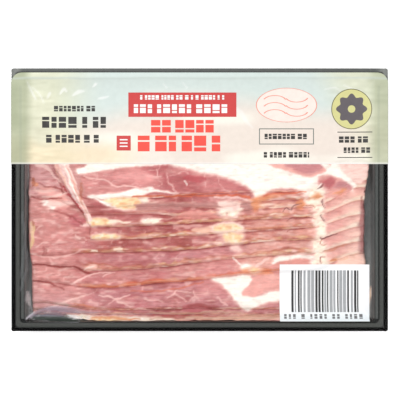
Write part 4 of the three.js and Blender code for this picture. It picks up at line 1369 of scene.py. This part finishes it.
def make_inks():
    """A plain design of blocks, rings and waves in the print's colours."""
    red = Ink("red_panel_print", INK_RED, BAND_LIFT + INK_LIFT)
    bright = Ink("bright_red_print", INK_BRIGHT_RED, BAND_LIFT + INK_LIFT)
    black = Ink("dark_print", INK_BLACK, BAND_LIFT + INK_LIFT)
    gold = Ink("gold_print", INK_GOLD, BAND_LIFT + 0.08)
    salmon = Ink("salmon_print", INK_SALMON, BAND_LIFT + 0.08)
    oval = Ink("pale_oval_print", OVAL_WHITE, BAND_LIFT + 0.04)
    frame_grey = Ink("grey_print", FRAME_GREY, BAND_LIFT + INK_LIFT)
    white = Ink("white_print", INK_AND_GLINT_WHITE, BAND_LIFT + 0.11)
    red.block(-45.5, 23.5, 53, 68.5)
    white.word(-38, 16, 64, 66.8, 12, 0.36)
    white.word(-42, 20, 55.4, 61, 11, 0.36)
    bright.word(-31, 9, 43, 51, 14, 0.22)
    bright.word(-39.5, 17.5, 31, 41, 13, 0.22)
    black.word(-93, -66, 56.5, 60, 17)
    black.word(-100.5, -59, 46, 53, 16)
    black.word(-98, -62, 36.5, 41.5, 15)
    red.block(-53, -44, 31.5, 41)
    for level in (33.8, 35.9, 38):
        white.block(-51, -46, level, level + 0.8)
    for low, high in ((35.4, 35.9), (45.1, 45.6)):
        frame_grey.block(38, 73, low, high)
    for low, high in ((38, 38.5), (72.5, 73)):
        frame_grey.block(low, high, 35.9, 45.1)
    black.word(41.5, 69.5, 38.8, 42.2, 18)
    black.word(41, 70, 27, 30.5, 19)
    for level in (54, 58.5, 63):
        salmon.ring((48, level), 6.8, 7.6, squash=0.5, turn=(0.3, 2.8))
        salmon.ring((62, level + 3), 6.8, 7.6, squash=0.5, turn=(3.5, 6.0))
    oval.ring((55.5, 60.5), 0, 19, squash=0.56)
    salmon.ring((55.5, 60.5), 19, 19.5, squash=0.56)
    olive = Ink("seal_rim_print", SEAL_OLIVE, BAND_LIFT + 0.06)
    dark = Ink("seal_print", SEAL_GREY, BAND_LIFT + 0.12)
    centre = (97, 58)
    gold.ring(centre, 0, 12.4)
    olive.ring(centre, 12.4, 12.9)
    dark.ring(centre, 2.4, 8.8, 8, 1.1)
    black.block(88, 110, 43, 43.5)
    black.word(89, 109, 36.5, 40.5, 21)
    black.word(92, 110, 30, 33.5, 20)
    black.block(88, 110, 26.8, 27.3)
    for ink in (red, bright, black, frame_grey, gold, olive, oval, salmon, white, dark):
        ink.make()


# The barcode label: its bars are evenly drawn at random and stand for no number
BARS_LEFT, BARS_RIGHT = 58.8, 102.7
BARS_FRONT, BARS_BACK = -71.8, -45.2
LABEL_WHITE = (252, 252, 253)
LABEL_BLUE = (232, 244, 248)
BAR_BLACK = (44, 44, 46)
BAR_GREY = (166, 168, 171)
ROW_GREY = (112, 113, 115)
BAR_SEED = 35
LABEL_LIFT = 0.3
LABEL_STEP = 0.6


def label_paint(x, y):
    """White, turning faintly blue to the front."""
    return covered(flat_paint(LABEL_WHITE, len(x)), LABEL_BLUE, 0.7 * smooth(-66, -78, y))


def make_barcode():
    x, y = even_grid(BARCODE_LOW[0], BARCODE_HIGH[0], BARCODE_LOW[1], BARCODE_HIGH[1], LABEL_STEP)
    material = print_material("label_white", 0.45, 0.015)
    make_printed_slab("barcode_ground", x, y, LABEL_LIFT, label_paint, material,
        "barcode_label")
    black = Ink("barcode_black_bars", BAR_BLACK, LABEL_LIFT + INK_LIFT)
    grey = Ink("barcode_grey_bars", BAR_GREY, LABEL_LIFT + INK_LIFT)
    rng = np.random.default_rng(BAR_SEED)
    place = BARS_LEFT
    while place < BARS_RIGHT - 0.5:
        is_black = rng.random() < 0.6
        width = rng.choice([0.8, 1.1, 1.4]) if is_black else rng.choice([0.8, 1.3, 1.9])
        ink = black if is_black else grey
        ink.block(place, min(place + width, BARS_RIGHT), BARS_FRONT, BARS_BACK)
        place += width + rng.choice([0.5, 0.8, 1.2])
    row = Ink("barcode_row_print", ROW_GREY, LABEL_LIFT + INK_LIFT)
    row.word(54, 105.5, -75.8, -73, 22, 0.8)
    for ink in (black, grey, row):
        ink.make("white_print")


# The stage: a pale floor, soft lights and a camera that looks straight down
CAMERA_LENS = 120
CAMERA_PLACE = (0.25, -0.1, 861)
FLOOR_REACH = 3
FLOOR_HEIGHT = -0.0004


def make_stage():
    floor_mesh = bpy.data.meshes.new("floor")
    signs = [(-1, -1), (1, -1), (1, 1), (-1, 1)]
    floor_points = [(x * FLOOR_REACH, y * FLOOR_REACH, FLOOR_HEIGHT) for x, y in signs]
    floor_mesh.from_pydata(floor_points, [], [(0, 1, 2, 3)])
    shader = Shader("pale_floor")
    principled = shader.node("ShaderNodeBsdfPrincipled", in_Base_Color=(0.93, 0.93, 0.93, 1))
    principled.inputs["Roughness"].default_value = 0.9
    principled.inputs["Emission Color"].default_value = (1, 1, 1, 1)
    principled.inputs["Emission Strength"].default_value = 0.5
    floor_mesh.materials.append(shader.surface(principled.outputs["BSDF"]))
    floor = bpy.data.objects.new("floor", floor_mesh)
    bpy.context.scene.collection.objects.link(floor)


def make_light(name, place, size, power):
    """A soft square light that faces the pack."""
    light = bpy.data.lights.new(name, "AREA")
    light.size = size
    light.energy = power
    made = bpy.data.objects.new(name, light)
    made.location = place
    direction = -made.location
    made.rotation_euler = direction.to_track_quat("-Z", "Y").to_euler()
    bpy.context.scene.collection.objects.link(made)


def make_lights_and_camera():
    scene = bpy.context.scene
    scene.view_settings.view_transform = "Standard"
    world = bpy.data.worlds.new("pale_room")
    world.use_nodes = True
    world.node_tree.nodes["Background"].inputs["Color"].default_value = (1, 1, 1, 1)
    world.node_tree.nodes["Background"].inputs["Strength"].default_value = 0.6
    scene.world = world
    make_light("key_light", (-0.45, 0.45, 0.85), 0.7, 5.5)
    make_light("fill_light", (0.6, -0.3, 0.8), 0.9, 3.2)
    camera = bpy.data.cameras.new("camera")
    camera.lens = CAMERA_LENS
    camera.sensor_width = 36
    made = bpy.data.objects.new("camera", camera)
    made.location = np.array(CAMERA_PLACE) * MM
    scene.collection.objects.link(made)
    scene.camera = made


make_tray()
make_rashers()
make_film()
make_band()
make_inks()
make_barcode()
make_stage()
make_lights_and_camera()
